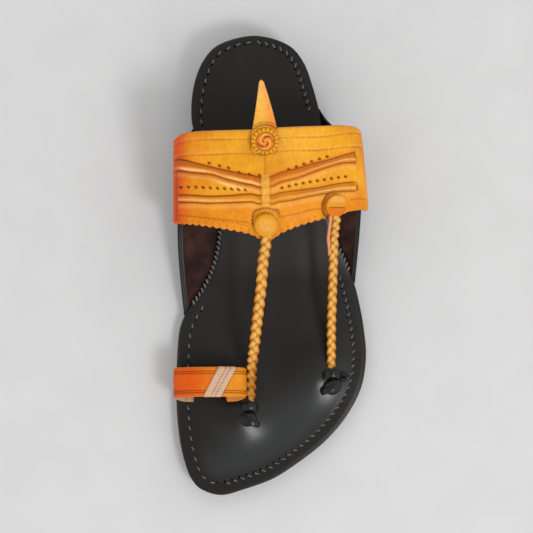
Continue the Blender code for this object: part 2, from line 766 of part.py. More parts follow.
def ring_path():
    """Middle line of the toe ring: an oval loop whose two ends turn down into the insole."""
    middle = (RING_MEDIAL_SHARE + RING_LATERAL_SHARE) / 2 * BALL_WIDTH
    half = ((RING_MEDIAL_SHARE - RING_LATERAL_SHARE) * BALL_WIDTH - RING_THICK) / 2
    ring_along = RING_ALONG_SHARE * SOLE_LENGTH
    floor = insole_top(ring_along)
    low = floor + SEAM_GAP * 2 + RING_THICK / 2
    high = floor + RING_RISE - RING_THICK / 2
    centre, tall = (high + low) / 2, (high - low) / 2
    start = math.radians(-90 + RING_OPENING_DEG)
    angles = np.linspace(start, np.pi - start, RING_STEPS)
    x = middle + half * np.cos(angles)
    z = centre + tall * np.sign(np.sin(angles)) * np.abs(np.sin(angles)) ** RING_POWER
    foot = outsole_top(ring_along) + SEAM_GAP * 2
    reach = RING_FOOT_TURN
    leg = [(x[0] - reach, foot), (x[0] - reach, z[0] - reach * 0.8), (x[0] - reach * 0.6, z[0] - reach * 0.2)]
    path = np.array(leg + list(zip(x, z)) + [(2 * middle - a, b) for a, b in reversed(leg)])
    lean = RING_LEAN * np.clip(path[:, 1] - floor - RING_THICK, 0, None) / RING_RISE
    return place(path[:, 0], ring_along + RING_LEAN / 2 - lean, path[:, 1])


def toe_ring():
    """The orange strap over the big toe, with a slanting inlay as a step in its wall."""
    path = ring_path()
    grid = ribbon(path, RING_WIDTH, 4, across=(0, 1, 0))
    ring = sheet("toe_ring", grid, "orange_leather", RING_THICK)
    run = path[RING_STEPS // 3 : RING_STEPS * 5 // 6]
    share = np.linspace(0, 1, 9)
    columns = []
    length = np.concatenate([[0], np.cumsum(np.linalg.norm(np.diff(run, axis=0), axis=1))])
    start = length[-1] * STRIPE_START_SHARE
    for j in np.linspace(-0.49, 0.49, 4):
        at = start + share * STRIPE_WIDTH + STRIPE_SLANT * (j + 0.5) * -1
        here = np.stack([np.interp(at, length, run[:, k]) for k in range(3)], 1)
        ahead = np.stack([np.interp(at + 0.0005, length, run[:, k]) for k in range(3)], 1)
        outward = unit(np.cross((0.0, 1.0, 0.0), ahead - here))
        outward *= np.sign(outward[:, 2:3])
        columns.append(here + outward * (RING_THICK + STRIPE_STEP) / 2 + (0, j * RING_WIDTH, 0))
    inlay = sheet("toe_ring_inlay", np.stack(columns, 1), None, STRIPE_STEP + RING_THICK / 2)
    return join_in(ring, inlay, "UNION")


def thong_spot(name):
    """Distances of a thong's middle from the heel's axis and from the heel's back."""
    return np.array(THONG_SPOTS[name]) * (BALL_WIDTH, SOLE_LENGTH)


def thong(name, x, along):
    """A black thong that arches over a braid's end, with both legs down in the insole's slits."""
    floor = insole_top(along)
    angles = np.linspace(0, np.pi, 13)
    half = THONG_SPAN / 2 - THONG_THICK / 2
    rise = THONG_RISE - THONG_THICK / 2
    arch_x = x + half * np.cos(angles)
    arch_z = floor + rise * np.sin(angles) ** THONG_POWER
    foot = outsole_top(along) + 2 * SEAM_GAP
    path_x = np.concatenate([[x + half], arch_x, [x - half]])
    path_z = np.concatenate([[foot], arch_z, [foot]])
    path = place(path_x, along, path_z)
    return sheet(name, ribbon(path, THONG_WIDTH, 3, across=(0, 1, 0)), "black_leather", THONG_THICK)


def knot(name, x, along, tab_side):
    """The knotted end in front of a thong: a rounded lump with a short tab to one side."""
    centre_along = along + THONG_WIDTH / 2 + SEAM_GAP + KNOT_LENGTH / 2
    floor = insole_top(centre_along + KNOT_LENGTH / 2) + SEAM_GAP
    shape = bmesh.new()
    bmesh.ops.create_uvsphere(shape, u_segments=16, v_segments=10, radius=0.5)
    bmesh.ops.scale(shape, vec=(KNOT_WIDTH, KNOT_LENGTH, KNOT_HEIGHT), verts=shape.verts[:])
    mesh = bpy.data.meshes.new(name)
    shape.to_mesh(mesh)
    shape.free()
    made = add_object(name, mesh, "black_leather")
    made.location = place(x, centre_along, floor + KNOT_HEIGHT / 2)
    bpy.context.view_layer.update()
    size = (KNOT_TAB_LENGTH, KNOT_TAB_WIDTH, KNOT_TAB_THICK)
    middle = place(x + tab_side * KNOT_WIDTH / 2, centre_along, floor + KNOT_HEIGHT / 2)
    tab = box_cutter(f"{name}_tab", size, middle.tolist())
    join_in(made, tab, "UNION")
    return made


def spike():
    """The pointed tongue behind the band: its root lies on the band under the rosette."""
    rear, front = band_edges(np.array([CROWN_ACROSS_SHARE]))
    width = (front - rear)[0]
    lift = BAND_THICK / 2 + SEAM_GAP + SPIKE_THICK / 2
    shares = np.array([SPIKE_ROOT, ROSETTE_FROM_EDGE, EDGE_ROUND]) / width
    root, _ = band_point(np.full(3, CROWN_ACROSS_SHARE), shares, lift)
    leave = unit(root[-1] - root[-2])
    lift_angle = math.radians(SPIKE_LIFT_DEG)
    goal = np.array((SPIKE_TURN_SHARE, -math.cos(lift_angle), math.sin(lift_angle)))
    run = np.linspace(0, 1, SPIKE_STEPS + 1)[1:, None]
    bend = unit(leave * (1 - run) + goal * run)
    blade = root[-1] + np.cumsum(bend * SPIKE_LENGTH / SPIKE_STEPS, axis=0)
    path = np.vstack([root, blade])
    distance = np.concatenate([[0], np.cumsum(np.linalg.norm(np.diff(path, axis=0), axis=1))])
    taper = np.clip((distance - distance[2]) / (distance[-1] - distance[2]), 0, 1)
    widths = SPIKE_WIDTH * (1 - (1 - SPIKE_TIP_SHARE) * taper)
    return sheet("spike", ribbon(path, widths, 3), "orange_leather", SPIKE_THICK)


def studs_and_braids():
    """The rosette, the two buttons, and the braids that run from under the buttons to the toes."""
    rear, front = band_edges(np.array([CROWN_ACROSS_SHARE]))
    share = ROSETTE_FROM_EDGE / (front - rear)
    lift = BAND_THICK / 2 + 3 * SEAM_GAP + SPIKE_THICK
    seat, outward = band_point(np.array([CROWN_ACROSS_SHARE]), share, lift)
    disc("rosette", seat[0], outward[0], ROSETTE_RADIUS, ROSETTE_THICK, ROSETTE_CROWN_SHARE)
    for name, across, from_edge, turn in (
        ("centre", CROWN_ACROSS_SHARE, BUTTON_FROM_EDGE, 90.0),
        ("lateral", LATERAL_BUTTON_ACROSS_SHARE, LATERAL_BUTTON_FROM_EDGE, 0.0),
    ):
        start, past, outward = braid_start(across, from_edge)
        seat_across = unit(np.cross((0.0, 1.0, 0.0), outward))
        run = braid_path(start, past, BRAID_ROWS[name])
        braid(f"braid_{name}", run, seat_across, turn)
        seat = start + outward * (WING_STEP + SEAM_GAP - BRAID_TAIL_THICK / 2)
        button = disc(f"button_{name}", seat, outward, BUTTON_RADIUS, BUTTON_THICK, BUTTON_CROWN_SHARE)
        back = run[0] - unit(run[1] - run[0]) * 2 * SEAM_GAP
        tight = np.vstack([back, run[: BRAID_STEPS + BRAID_STEPS // 2]])
        groove = channel(
            f"groove_{name}", tight, BRAID_WIDTH + 4 * SEAM_GAP, BRAID_TAIL_THICK + 3 * SEAM_GAP, seat_across
        )
        join_in(button, groove, "DIFFERENCE")
        thong(f"thong_{name}", *thong_spot(name))
        knot(f"knot_{name}", *thong_spot(name), 1.0 if name == "centre" else -1.0)


def insole():
    """The top layer, slit for the thongs and the toe ring and recessed below for the ears."""
    made = slab("insole", EDGE, insole_bottom, INSOLE_THICK, "black_leather", EDGE_ROUND)
    for side in ("medial", "lateral"):
        join_in(made, flange_pocket(side), "DIFFERENCE")
    for name in THONG_SPOTS:
        x, along = thong_spot(name)
        for sign in (-1, 1):
            leg = x + sign * (THONG_SPAN - THONG_THICK) / 2
            join_in(made, slot(f"slit_{name}_{sign}", leg, along, THONG_THICK, THONG_WIDTH), "DIFFERENCE")
    path = ring_path()
    for name, foot in (("medial", path[0]), ("lateral", path[-1])):
        cutter = slot(f"ring_slit_{name}", foot[0], foot[1] + HEEL_CENTRE, RING_THICK, RING_WIDTH)
        join_in(made, cutter, "DIFFERENCE")
    return made


def build():
    """Makes every piece of the sandal."""
    heel()
    slab("outsole", EDGE, outsole_bottom, OUTSOLE_THICK, "black_sole_edge", EDGE_ROUND)
    insole()
    ear("medial")
    ear("lateral")
    instep_band()
    spike()
    studs_and_braids()
    toe_ring()


for old in list(bpy.data.objects):
    bpy.data.objects.remove(old)
SANDAL = bpy.data.collections.new("kolhapuri_sandal")
CUTTERS = bpy.data.collections.new("cutters")
for group in (SANDAL, CUTTERS):
    bpy.context.scene.collection.children.link(group)

build()
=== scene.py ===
# %% [markdown]
# # A kolhapuri sandal, dressed for its picture
# The CAD model fixes every size of this left-foot sandal. Each piece here is a surface worked
# out with numpy from those sizes, so it lies just where its solid lies. We load the frame first,
# and can read the box of each of its parts. No piece may grow far beyond it.

import math

import bmesh
import bpy
import numpy as np
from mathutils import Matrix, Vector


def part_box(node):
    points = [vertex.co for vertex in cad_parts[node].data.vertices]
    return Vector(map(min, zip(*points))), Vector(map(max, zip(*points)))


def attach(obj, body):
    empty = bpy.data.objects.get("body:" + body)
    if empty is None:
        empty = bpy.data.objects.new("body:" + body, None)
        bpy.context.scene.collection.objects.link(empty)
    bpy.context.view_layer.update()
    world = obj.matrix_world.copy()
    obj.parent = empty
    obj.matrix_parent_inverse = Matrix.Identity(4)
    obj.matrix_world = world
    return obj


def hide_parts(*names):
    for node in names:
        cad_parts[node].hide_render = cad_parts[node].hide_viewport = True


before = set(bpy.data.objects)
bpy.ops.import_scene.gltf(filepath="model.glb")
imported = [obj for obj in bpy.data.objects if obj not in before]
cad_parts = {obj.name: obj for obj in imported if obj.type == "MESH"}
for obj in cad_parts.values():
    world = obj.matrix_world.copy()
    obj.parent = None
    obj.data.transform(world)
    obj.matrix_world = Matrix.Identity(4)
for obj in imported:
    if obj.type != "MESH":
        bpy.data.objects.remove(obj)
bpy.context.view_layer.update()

# %% [markdown]
# ## Sizes
# A sandal maker works from a paper pattern. This is ours: lengths in metres, the same as the
# solids have, and small tables of shares that scale with them. "Along" is the distance forward
# from the back of the heel, and +X points to the big-toe side.

# %% Sizes of the sole
SOLE_LENGTH = 0.280
BALL_WIDTH = 0.116
HEEL_CENTRE = 0.036
HEEL_BREAST = 0.066
HEEL_HEIGHT = 0.016
HEEL_LIFTS = 3
HEEL_TAPER = 0.0006
BALL_START_SHARE = 0.536
BALL_END_SHARE = 0.768
TOE_SPRING = 0.006
OUTSOLE_THICK = 0.0045
INSOLE_THICK = 0.0040
SEAM_GAP = 0.0003

SOLE_ROWS = (
    # along as a share of SOLE_LENGTH, medial and lateral edge as shares of BALL_WIDTH
    (0.000, -0.004, -0.004),
    (0.018, 0.174, -0.173),
    (0.056, 0.265, -0.260),
    (0.113, 0.315, -0.312),
    (0.178, 0.325, -0.351),
    (0.225, 0.296, -0.360),
    (0.275, 0.235, -0.369),
    (0.330, 0.187, -0.384),
    (0.385, 0.174, -0.402),
    (0.440, 0.181, -0.440),
    (0.495, 0.208, -0.503),
    (0.545, 0.261, -0.547),
    (0.590, 0.333, -0.573),
    (0.635, 0.383, -0.592),
    (0.700, 0.399, -0.605),
    (0.770, 0.404, -0.577),
    (0.835, 0.398, -0.492),
    (0.890, 0.382, -0.372),
    (0.935, 0.355, -0.228),
    (0.966, 0.323, -0.105),
    (0.988, 0.270, 0.045),
    (1.000, 0.167, 0.167),
)
print("sole:", SOLE_LENGTH * 1000, "mm long,", len(SOLE_ROWS), "rows")

# %% Sizes of the ears and the band
EAR_THICK = 0.0022
EAR_BEND = 0.0020
EAR_CLEAR = 0.0005
EAR_RISE = 0.026
EAR_LEAN_SHARE = 0.75
EAR_LEAN_LIMITS_DEG = (25.0, 72.0)
EAR_FOOT_PULL_SHARE = 0.30
EAR_TOP_PULL_SHARE = 0.34
EAR_RAKE_SHARES = {
    # side: how soon the rear and the front rim reach their top's place along the sandal
    "medial": (0.80, 1.05),
    "lateral": (0.95, 1.30),
}
EAR_SPANS = {
    # side: (base rear, base front, top rear, top front) as shares of SOLE_LENGTH
    "medial": (0.204, 0.607, 0.240, 0.398),
    "lateral": (0.160, 0.536, 0.221, 0.371),
}
BAND_THICK = 0.0028
BAND_TAB = 0.013
BAND_TAB_GAP = 0.0005
BAND_MEDIAL_REACH = 0.0475
BAND_LATERAL_REACH_REAR = 0.0615
BAND_LATERAL_REACH = 0.0665
CROWN_RISE_REAR = 0.061
CROWN_RISE_FRONT = 0.051
CROWN_ACROSS_SHARE = 0.07
CROWN_POWER_MEDIAL = 2.3
CROWN_POWER_LATERAL = 2.0
BAND_ROWS = (
    # across from the lateral end (-1) to the medial (1), rear and front edge as shares of SOLE_LENGTH
    (-1.00, 0.2180, 0.3760),
    (-0.93, 0.2105, 0.3755),
    (-0.80, 0.2090, 0.3790),
    (-0.55, 0.2120, 0.3905),
    (-0.30, 0.2145, 0.4050),
    (-0.08, 0.2170, 0.4230),
    (0.02, 0.2190, 0.4370),
    (0.12, 0.2210, 0.4370),
    (0.22, 0.2215, 0.4260),
    (0.50, 0.2225, 0.4140),
    (0.80, 0.2235, 0.4050),
    (0.93, 0.2270, 0.4025),
    (1.00, 0.2360, 0.4010),
)
print("band:", (BAND_MEDIAL_REACH + BAND_LATERAL_REACH) * 1000, "mm wide over the foot")

# %% Sizes of the studs, the spike and the braids
BUTTON_RADIUS = 0.0072
BUTTON_THICK = 0.0036
BUTTON_FROM_EDGE = 0.0083
LATERAL_BUTTON_ACROSS_SHARE = -0.63
LATERAL_BUTTON_FROM_EDGE = 0.0078
LATERAL_BUTTON_SLIP = 0.0026
ROSETTE_RADIUS = 0.0080
ROSETTE_THICK = 0.0026
ROSETTE_FROM_EDGE = 0.0040
SPIKE_ROOT = 0.0104
SPIKE_LENGTH = 0.033
SPIKE_WIDTH = 0.014
SPIKE_THICK = 0.0024
SPIKE_LIFT_DEG = 33.0
SPIKE_TURN_SHARE = 0.13
BRAID_TAIL_THICK = 0.0018
BRAID_THICK = 0.0038

# %% [markdown]
# ## Two ways through a table
# The pattern's tables hold a few rows, and leather edges are smooth. `smooth` reads a column
# without overshooting between rows. `catmull` draws a curve through whole points, which is
# what the round heel and toe need, because there the edge turns back on itself.

# %% Curves through tables
def smooth(at, knots, values):
    """Hermite curve through (knot, value) pairs; each tangent is the harmonic mean of its slopes."""
    at, knots, values = (np.asarray(a, float) for a in (at, knots, values))
    step = np.diff(knots)
    slope = np.diff(values) / step
    tangent = np.zeros_like(values)
    tangent[0], tangent[-1] = slope[0], slope[-1]
    rising = slope[:-1] * slope[1:] > 0
    safe = np.where(rising, slope[:-1] + slope[1:], 1.0)
    tangent[1:-1] = np.where(rising, 2 * slope[:-1] * slope[1:] / safe, 0.0)
    i = np.clip(np.searchsorted(knots, at) - 1, 0, len(step) - 1)
    t = np.clip((at - knots[i]) / step[i], 0, 1)
    return (
        (1 + 2 * t) * (1 - t) ** 2 * values[i]
        + t * (1 - t) ** 2 * step[i] * tangent[i]
        + t * t * (3 - 2 * t) * values[i + 1]
        + t * t * (t - 1) * step[i] * tangent[i + 1]
    )


def catmull(rows, per_span):
    """Catmull-Rom curve: a cubic between rows b and c whose end slopes are (c - a)/2 and (d - b)/2."""
    t = np.linspace(0, 1, per_span, endpoint=False)[None, :, None]
    a, b, c, d = (rows[k : len(rows) - 3 + k, None, :] for k in range(4))
    body = 0.5 * (2 * b + (c - a) * t + (2 * a - 5 * b + 4 * c - d) * t**2 + (3 * b - a - 3 * c + d) * t**3)
    return np.vstack([body.reshape(-1, rows.shape[1]), rows[-2][None]])


def unit(v):
    """Vectors divided by their length."""
    return v / np.maximum(np.linalg.norm(v, axis=-1, keepdims=True), 1e-12)


def bump(d, width):
    """A soft hill of height one: exp(-(d / width) squared)."""
    return np.exp(-((d / width) ** 2))


def step_up(v, low, high):
    """Rises from 0 at low to 1 at high as 3t^2 - 2t^3."""
    t = np.clip((v - low) / (high - low), 0, 1)
    return t * t * (3 - 2 * t)


# %% Outline and side view of the sole
def outline(per_span):
    """Rows of along, medial x, lateral x. A mirrored row past each end makes the ends round."""
    rows = np.array(SOLE_ROWS) * (SOLE_LENGTH, BALL_WIDTH, BALL_WIDTH)
    heel, toe = rows[1][[0, 2, 1]], rows[-2][[0, 2, 1]]
    return catmull(np.vstack([heel, rows, toe]), per_span)


EDGE = outline(16)


def edge_x(side, along):
    """x of the sole's edge at a distance along."""
    return np.interp(along, EDGE[:, 0], EDGE[:, 1 if side == "medial" else 2])


def edge_normal(side, along):
    """Outward direction of the edge in plan: its slope dx/dy turned by a quarter."""
    reach = 0.002
    slope = (edge_x(side, along + reach) - edge_x(side, along - reach)) / (2 * reach)
    sign = 1.0 if side == "medial" else -1.0
    return sign / np.sqrt(1 + slope**2), -sign * slope / np.sqrt(1 + slope**2)


def outsole_bottom(along):
    """Heel height, eased down the waist to 0 at the ball, and up a parabola at the toe."""
    start, end = BALL_START_SHARE * SOLE_LENGTH, BALL_END_SHARE * SOLE_LENGTH
    waist = step_up(along, HEEL_BREAST, start)
    toe = np.clip((along - end) / (SOLE_LENGTH - end), 0, 1)
    return HEEL_HEIGHT * (1 - waist) + TOE_SPRING * toe**2


def outsole_top(along):
    """The outsole's upper face, one thickness up."""
    return outsole_bottom(along) + OUTSOLE_THICK


def insole_top(along):
    """The face that the foot stands on."""
    return outsole_top(along) + SEAM_GAP + INSOLE_THICK


def place(x, along, z):
    """Points in the frame: y is counted from the heel's centre."""
    return np.stack(np.broadcast_arrays(x, along - HEEL_CENTRE, z), axis=-1)


low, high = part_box("insole")
print("insole top at the heel:", round(float(insole_top(0.0)) * 1000, 2), "mm; CAD says", round(high[2] * 1000, 2))

# %% [markdown]
# ## From grids to meshes
# Leather pieces come in two kinds here. A flat or bent piece is a `shell`: one grid for its
# grain side, one for its flesh side, and a half-round rim between their borders. A cord or a
# strand is a `loft`: rings of points carried along a path. Named marks go onto the vertices, so
# that a material can tell a groove from the plain face without any picture.

# %% Making one mesh
def make_piece(name, points, faces, material, marks=None, uv=None):
    """Puts points and faces in a mesh, merges doubles at poles, and turns all faces outward."""
    mesh = bpy.data.meshes.new(name)
    mesh.from_pydata(points.tolist(), [], faces.tolist() if isinstance(faces, np.ndarray) else faces)
    for mark, values in (marks or {}).items():
        mesh.attributes.new(mark, "FLOAT", "POINT").data.foreach_set("value", np.ravel(values).astype(np.float32))
    if uv is not None:
        corner = np.empty(len(mesh.loops), dtype=np.int32)
        mesh.loops.foreach_get("vertex_index", corner)
        mesh.uv_layers.new(name="surface").data.foreach_set("uv", uv[corner].astype(np.float32).ravel())
    shape = bmesh.new()
    shape.from_mesh(mesh)
    bmesh.ops.remove_doubles(shape, verts=shape.verts[:], dist=2e-6)
    bmesh.ops.recalc_face_normals(shape, faces=shape.faces[:])
    shape.to_mesh(mesh)
    shape.free()
    mesh.shade_smooth()
    mesh.materials.append(material)
    piece = bpy.data.objects.new(name, mesh)
    bpy.context.scene.collection.objects.link(piece)
    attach(piece, "root")
    return piece


def grid_faces(rows, columns, offset=0, closed=False):
    """Quads of a grid of rows by columns; closed joins the last column to the first."""
    index = np.arange(rows * columns).reshape(rows, columns) + offset
    if closed:
        index = np.concatenate([index, index[:, :1]], axis=1)
    return np.stack([index[:-1, :-1], index[1:, :-1], index[1:, 1:], index[:-1, 1:]], -1).reshape(-1, 4)


# %% Shells
def border_of(rows, columns):
    """Indices round a grid's border, once round."""
    index = np.arange(rows * columns).reshape(rows, columns)
    return np.concatenate([index[0], index[1:, -1], index[-1, -2::-1], index[-2:0:-1, 0]])


def shell(name, grain, flesh, material, marks=None, rim=4, uv=None):
    """Closed piece between two grids. Rim ring k lies at angle t = pi k/(rim + 1): the middle of both
    borders + half their difference cos t + half their distance sin t, away from the piece."""
    rows, columns = grain.shape[:2]
    border = border_of(rows, columns)
    away = np.zeros_like(grain)
    for sheet in (grain, flesh):
        away[0] += unit(sheet[0] - sheet[1])
        away[-1] += unit(sheet[-1] - sheet[-2])
        away[:, 0] += unit(sheet[:, 0] - sheet[:, 1])
        away[:, -1] += unit(sheet[:, -1] - sheet[:, -2])
    away = unit(away.reshape(-1, 3)[border])
    top, under = grain.reshape(-1, 3), flesh.reshape(-1, 3)
    middle, half = (top[border] + under[border]) / 2, (top[border] - under[border]) / 2
    reach = np.linalg.norm(half, axis=1, keepdims=True)
    angles = np.pi * np.arange(1, rim + 1) / (rim + 1)
    rings = [middle + half * np.cos(t) + away * reach * np.sin(t) for t in angles]
    count = rows * columns
    loops = [border] + [np.arange(len(border)) + 2 * count + k * len(border) for k in range(rim)]
    loops.append(border + count)
    faces = [grid_faces(rows, columns), grid_faces(rows, columns, count)[:, ::-1]]
    for a, b in zip(loops, loops[1:]):
        faces.append(np.stack([a, np.roll(a, -1), np.roll(b, -1), b], -1))
    flat = {}
    for mark, (on_grain, on_flesh) in (marks or {}).items():
        g, f = (np.broadcast_to(v, (rows, columns)).ravel() for v in (on_grain, on_flesh))
        share = [(1 + np.cos(t)) / 2 for t in angles]
        flat[mark] = np.concatenate([g, f] + [g[border] * s + f[border] * (1 - s) for s in share])
    if uv is not None:
        uv = uv.reshape(-1, 2)
        uv = np.concatenate([uv, uv] + [uv[border]] * rim)
    return make_piece(name, np.concatenate([top, under] + rings), np.concatenate(faces), material, flat, uv)


def normals(grid):
    """Unit normals of a grid, from the cross product of its two differences."""
    return unit(np.cross(np.gradient(grid, axis=0), np.gradient(grid, axis=1)))


# %% Lofts
def loft(name, rings, material, marks=None, caps=5):
    """Closed tube through rings of points. Each end is a dome: rings shrunk by cos t and moved out
    by the ring's own radius times sin t."""
    first, last = rings[0].mean(0), rings[-1].mean(0)
    radius = np.linalg.norm(rings[0] - first, axis=1).min(), np.linalg.norm(rings[-1] - last, axis=1).min()
    back, ahead = unit(first - rings[1].mean(0)), unit(last - rings[-2].mean(0))
    turn = np.linspace(np.pi / 2, 0, caps, endpoint=False)
    start = [first + (rings[0] - first) * np.cos(t) + back * radius[0] * np.sin(t) for t in turn]
    end = [last + (rings[-1] - last) * np.cos(t) + ahead * radius[1] * np.sin(t) for t in turn[::-1]]
    full = np.concatenate([start, rings, end])
    flat = {}
    for mark, values in (marks or {}).items():
        values = np.broadcast_to(values, rings.shape[:2])
        flat[mark] = np.concatenate([values[:1]] * caps + [values] + [values[-1:]] * caps)
    faces = grid_faces(full.shape[0], full.shape[1], closed=True)
    return make_piece(name, full.reshape(-1, 3), faces, material, flat)


def carry(path, profile, wide, thick):
    """Rings along a path: path point + profile's first number times wide + its second times thick."""
    return path[:, None] + wide[:, None] * profile[..., :1] + thick[:, None] * profile[..., 1:]


def even(path, count):
    """A path's points at equal distances along it."""
    length = np.concatenate([[0], np.cumsum(np.linalg.norm(np.diff(path, axis=0), axis=1))])
    at = np.linspace(0, length[-1], count)
    return np.stack([np.interp(at, length, path[:, k]) for k in range(3)], axis=1), at


# %% [markdown]
# ## Materials
# Vegetable-tanned leather is not one colour: dye gathers in tooled grooves, rubs off on the
# crown and darkens towards the edges. A picture could hold this, but nodes that read marks on
# the mesh stay sharp at any size. Each finish below mixes its colours by marks and by noise in
# object space, and adds its grain as a bump. Some marks also paint light into the colour:
# highlights on ridges, strand backs and rims, a sheen on the insole's toe, and shade in the
# braids' creases, in needle holes, round the buttons and over the band's front half.

# %% Small helpers for node trees
def new_material(name):
    """A material with its node tree, and the shader in it."""
    made = bpy.data.materials.new(name)
    made.use_nodes = True
    return made, made.node_tree, made.node_tree.nodes["Principled BSDF"]


def noise(tree, scale, detail=4.0, stretch=None):
    """Noise on Object coordinates, stretched along an axis by a Mapping node if asked."""
    place_node = tree.nodes.new("ShaderNodeTexCoord")
    source = place_node.outputs["Object"]
    if stretch:
        mapping = tree.nodes.new("ShaderNodeMapping")
        mapping.inputs["Scale"].default_value = stretch
        tree.links.new(source, mapping.inputs["Vector"])
        source = mapping.outputs["Vector"]
    node = tree.nodes.new("ShaderNodeTexNoise")
    node.inputs["Scale"].default_value = scale
    node.inputs["Detail"].default_value = detail
    tree.links.new(source, node.inputs["Vector"])
    return node.outputs["Fac"]


def mark_of(tree, name):
    """The value of a mark on the mesh."""
    node = tree.nodes.new("ShaderNodeAttribute")
    node.attribute_name = name
    return node.outputs["Fac"]


def ramp(tree, value, *stops):
    """Colour ramp of a value; each stop is (place, colour or grey)."""
    node = tree.nodes.new("ShaderNodeValToRGB")
    elements = node.color_ramp.elements
    while len(elements) < len(stops):
        elements.new(0.5)
    for element, (at, colour) in zip(elements, stops):
        element.position = at
        element.color = (*colour, 1) if isinstance(colour, tuple) else (colour, colour, colour, 1)
    tree.links.new(value, node.inputs["Fac"])
    return node.outputs["Color"]


def mix(tree, factor, a, b, how="MIX"):
    """Mix of two colours; each is a socket or a fixed colour."""
    node = tree.nodes.new("ShaderNodeMix")
    node.data_type = "RGBA"
    node.blend_type = how
    for socket, value in ((node.inputs["Factor"], factor), (node.inputs["A"], a), (node.inputs["B"], b)):
        if isinstance(value, bpy.types.NodeSocket):
            tree.links.new(value, socket)
        else:
            socket.default_value = (*value, 1) if isinstance(value, tuple) else value
    return node.outputs["Result"]


def math_node(tree, how, a, b=0.0):
    """A Math node of two numbers or sockets."""
    node = tree.nodes.new("ShaderNodeMath")
    node.operation = how
    for socket, value in zip(node.inputs, (a, b)):
        if isinstance(value, bpy.types.NodeSocket):
            tree.links.new(value, socket)
        else:
            socket.default_value = value
    return node.outputs[0]


def add_bump(tree, shader, *layers):
    """Stacks bump layers of (height socket, distance in metres, strength) on a shader."""
    before = None
    for height, distance, strength in layers:
        node = tree.nodes.new("ShaderNodeBump")
        node.inputs["Distance"].default_value = distance
        node.inputs["Strength"].default_value = strength
        tree.links.new(height, node.inputs["Height"])
        if before:
            tree.links.new(before, node.inputs["Normal"])
        before = node.outputs["Normal"]
    tree.links.new(before, shader.inputs["Normal"])


def pores(tree, scale):
    """Leather grain: distance to the nearest Voronoi cell centre."""
    node = tree.nodes.new("ShaderNodeTexVoronoi")
    node.inputs["Scale"].default_value = scale
    place_node = tree.nodes.new("ShaderNodeTexCoord")
    tree.links.new(place_node.outputs["Object"], node.inputs["Vector"])
    return node.outputs["Distance"]


# %% Black leathers and rubber
def black_insole_leather():
    """Smooth black grain; the stitch channel is duller, "polish" marks where the leather is pulled tight, and a painted
    sheen lightens the toe.
    """
    made, tree, shader = new_material("black insole leather")
    cloudy = noise(tree, 28, 5)
    colour = ramp(tree, cloudy, (0.30, (0.0062, 0.0040, 0.0018)), (0.72, (0.0085, 0.0068, 0.0050)))
    # Painted sheen: a lighter grey towards the toe stands in for reflected light.
    colour = mix(tree, mark_of(tree, "painted_sheen"), colour, (0.0205, 0.0220, 0.0225))
    colour = mix(tree, mark_of(tree, "channel"), colour, (0.003, 0.003, 0.003))
    tree.links.new(colour, shader.inputs["Base Color"])
    rough = ramp(tree, noise(tree, 70, 6, (1.0, 0.35, 1.0)), (0.30, 0.30), (0.75, 0.40))
    tree.links.new(mix(tree, mark_of(tree, "polish"), rough, (0.24, 0.24, 0.24)), shader.inputs["Roughness"])
    shader.inputs["Specular IOR Level"].default_value = 0.27
    add_bump(tree, shader, (pores(tree, 1400), 0.00005, 0.30), (noise(tree, 130, 5), 0.00010, 0.25))
    return made


def black_edge_leather():
    """Cut and inked edge of sole leather: fine lines run round it."""
    made, tree, shader = new_material("inked sole edge")
    lines = noise(tree, 60, 4, (1.0, 1.0, 24.0))
    tree.links.new(ramp(tree, lines, (0.35, (0.0050, 0.0035, 0.0025)), (0.70, (0.0130, 0.0090, 0.0070))), shader.inputs["Base Color"])
    tree.links.new(ramp(tree, noise(tree, 90, 5), (0.3, 0.42), (0.7, 0.62)), shader.inputs["Roughness"])
    shader.inputs["Coat Weight"].default_value = 0.35
    shader.inputs["Coat Roughness"].default_value = 0.25
    add_bump(tree, shader, (lines, 0.00025, 0.4), (noise(tree, 600, 4), 0.00008, 0.35))
    return made


def black_rubber():
    """Matt rubber with a fine pebble."""
    made, tree, shader = new_material("black heel rubber")
    tree.links.new(ramp(tree, noise(tree, 160, 4), (0.3, (0.012, 0.012, 0.012)), (0.7, (0.022, 0.022, 0.021))), shader.inputs["Base Color"])
    tree.links.new(ramp(tree, noise(tree, 300, 3), (0.3, 0.68), (0.7, 0.82)), shader.inputs["Roughness"])
    add_bump(tree, shader, (pores(tree, 900), 0.00015, 0.5))
    return made


def ear_leather():
    """Red-brown on the flesh side and black on the grain side and rim, chosen by the mark "flesh"; a painted pale grey
    highlight line follows the rim.
    """
    made, tree, shader = new_material("ear leather")
    streaks = noise(tree, 85, 6, (1.0, 1.0, 0.22))
    brown = ramp(tree, streaks, (0.34, (0.009, 0.0025, 0.0018)), (0.50, (0.021, 0.0070, 0.0045)), (0.68, (0.046, 0.017, 0.011)))
    black = ramp(tree, noise(tree, 40, 4), (0.3, (0.005, 0.0045, 0.0045)), (0.7, (0.012, 0.0115, 0.0115)))
    colour = mix(tree, mark_of(tree, "flesh"), black, brown)
    # Painted highlight: a pale grey line along the rim, where its rounded edge would catch the light.
    tree.links.new(mix(tree, mark_of(tree, "rub_and_highlight"), colour, (0.085, 0.082, 0.080)), shader.inputs["Base Color"])
    tree.links.new(ramp(tree, mark_of(tree, "flesh"), (0.0, 0.36), (1.0, 0.66)), shader.inputs["Roughness"])
    shader.inputs["Specular IOR Level"].default_value = 0.12
    add_bump(tree, shader, (pores(tree, 1100), 0.00008, 0.35), (streaks, 0.00030, 0.35))
    return made


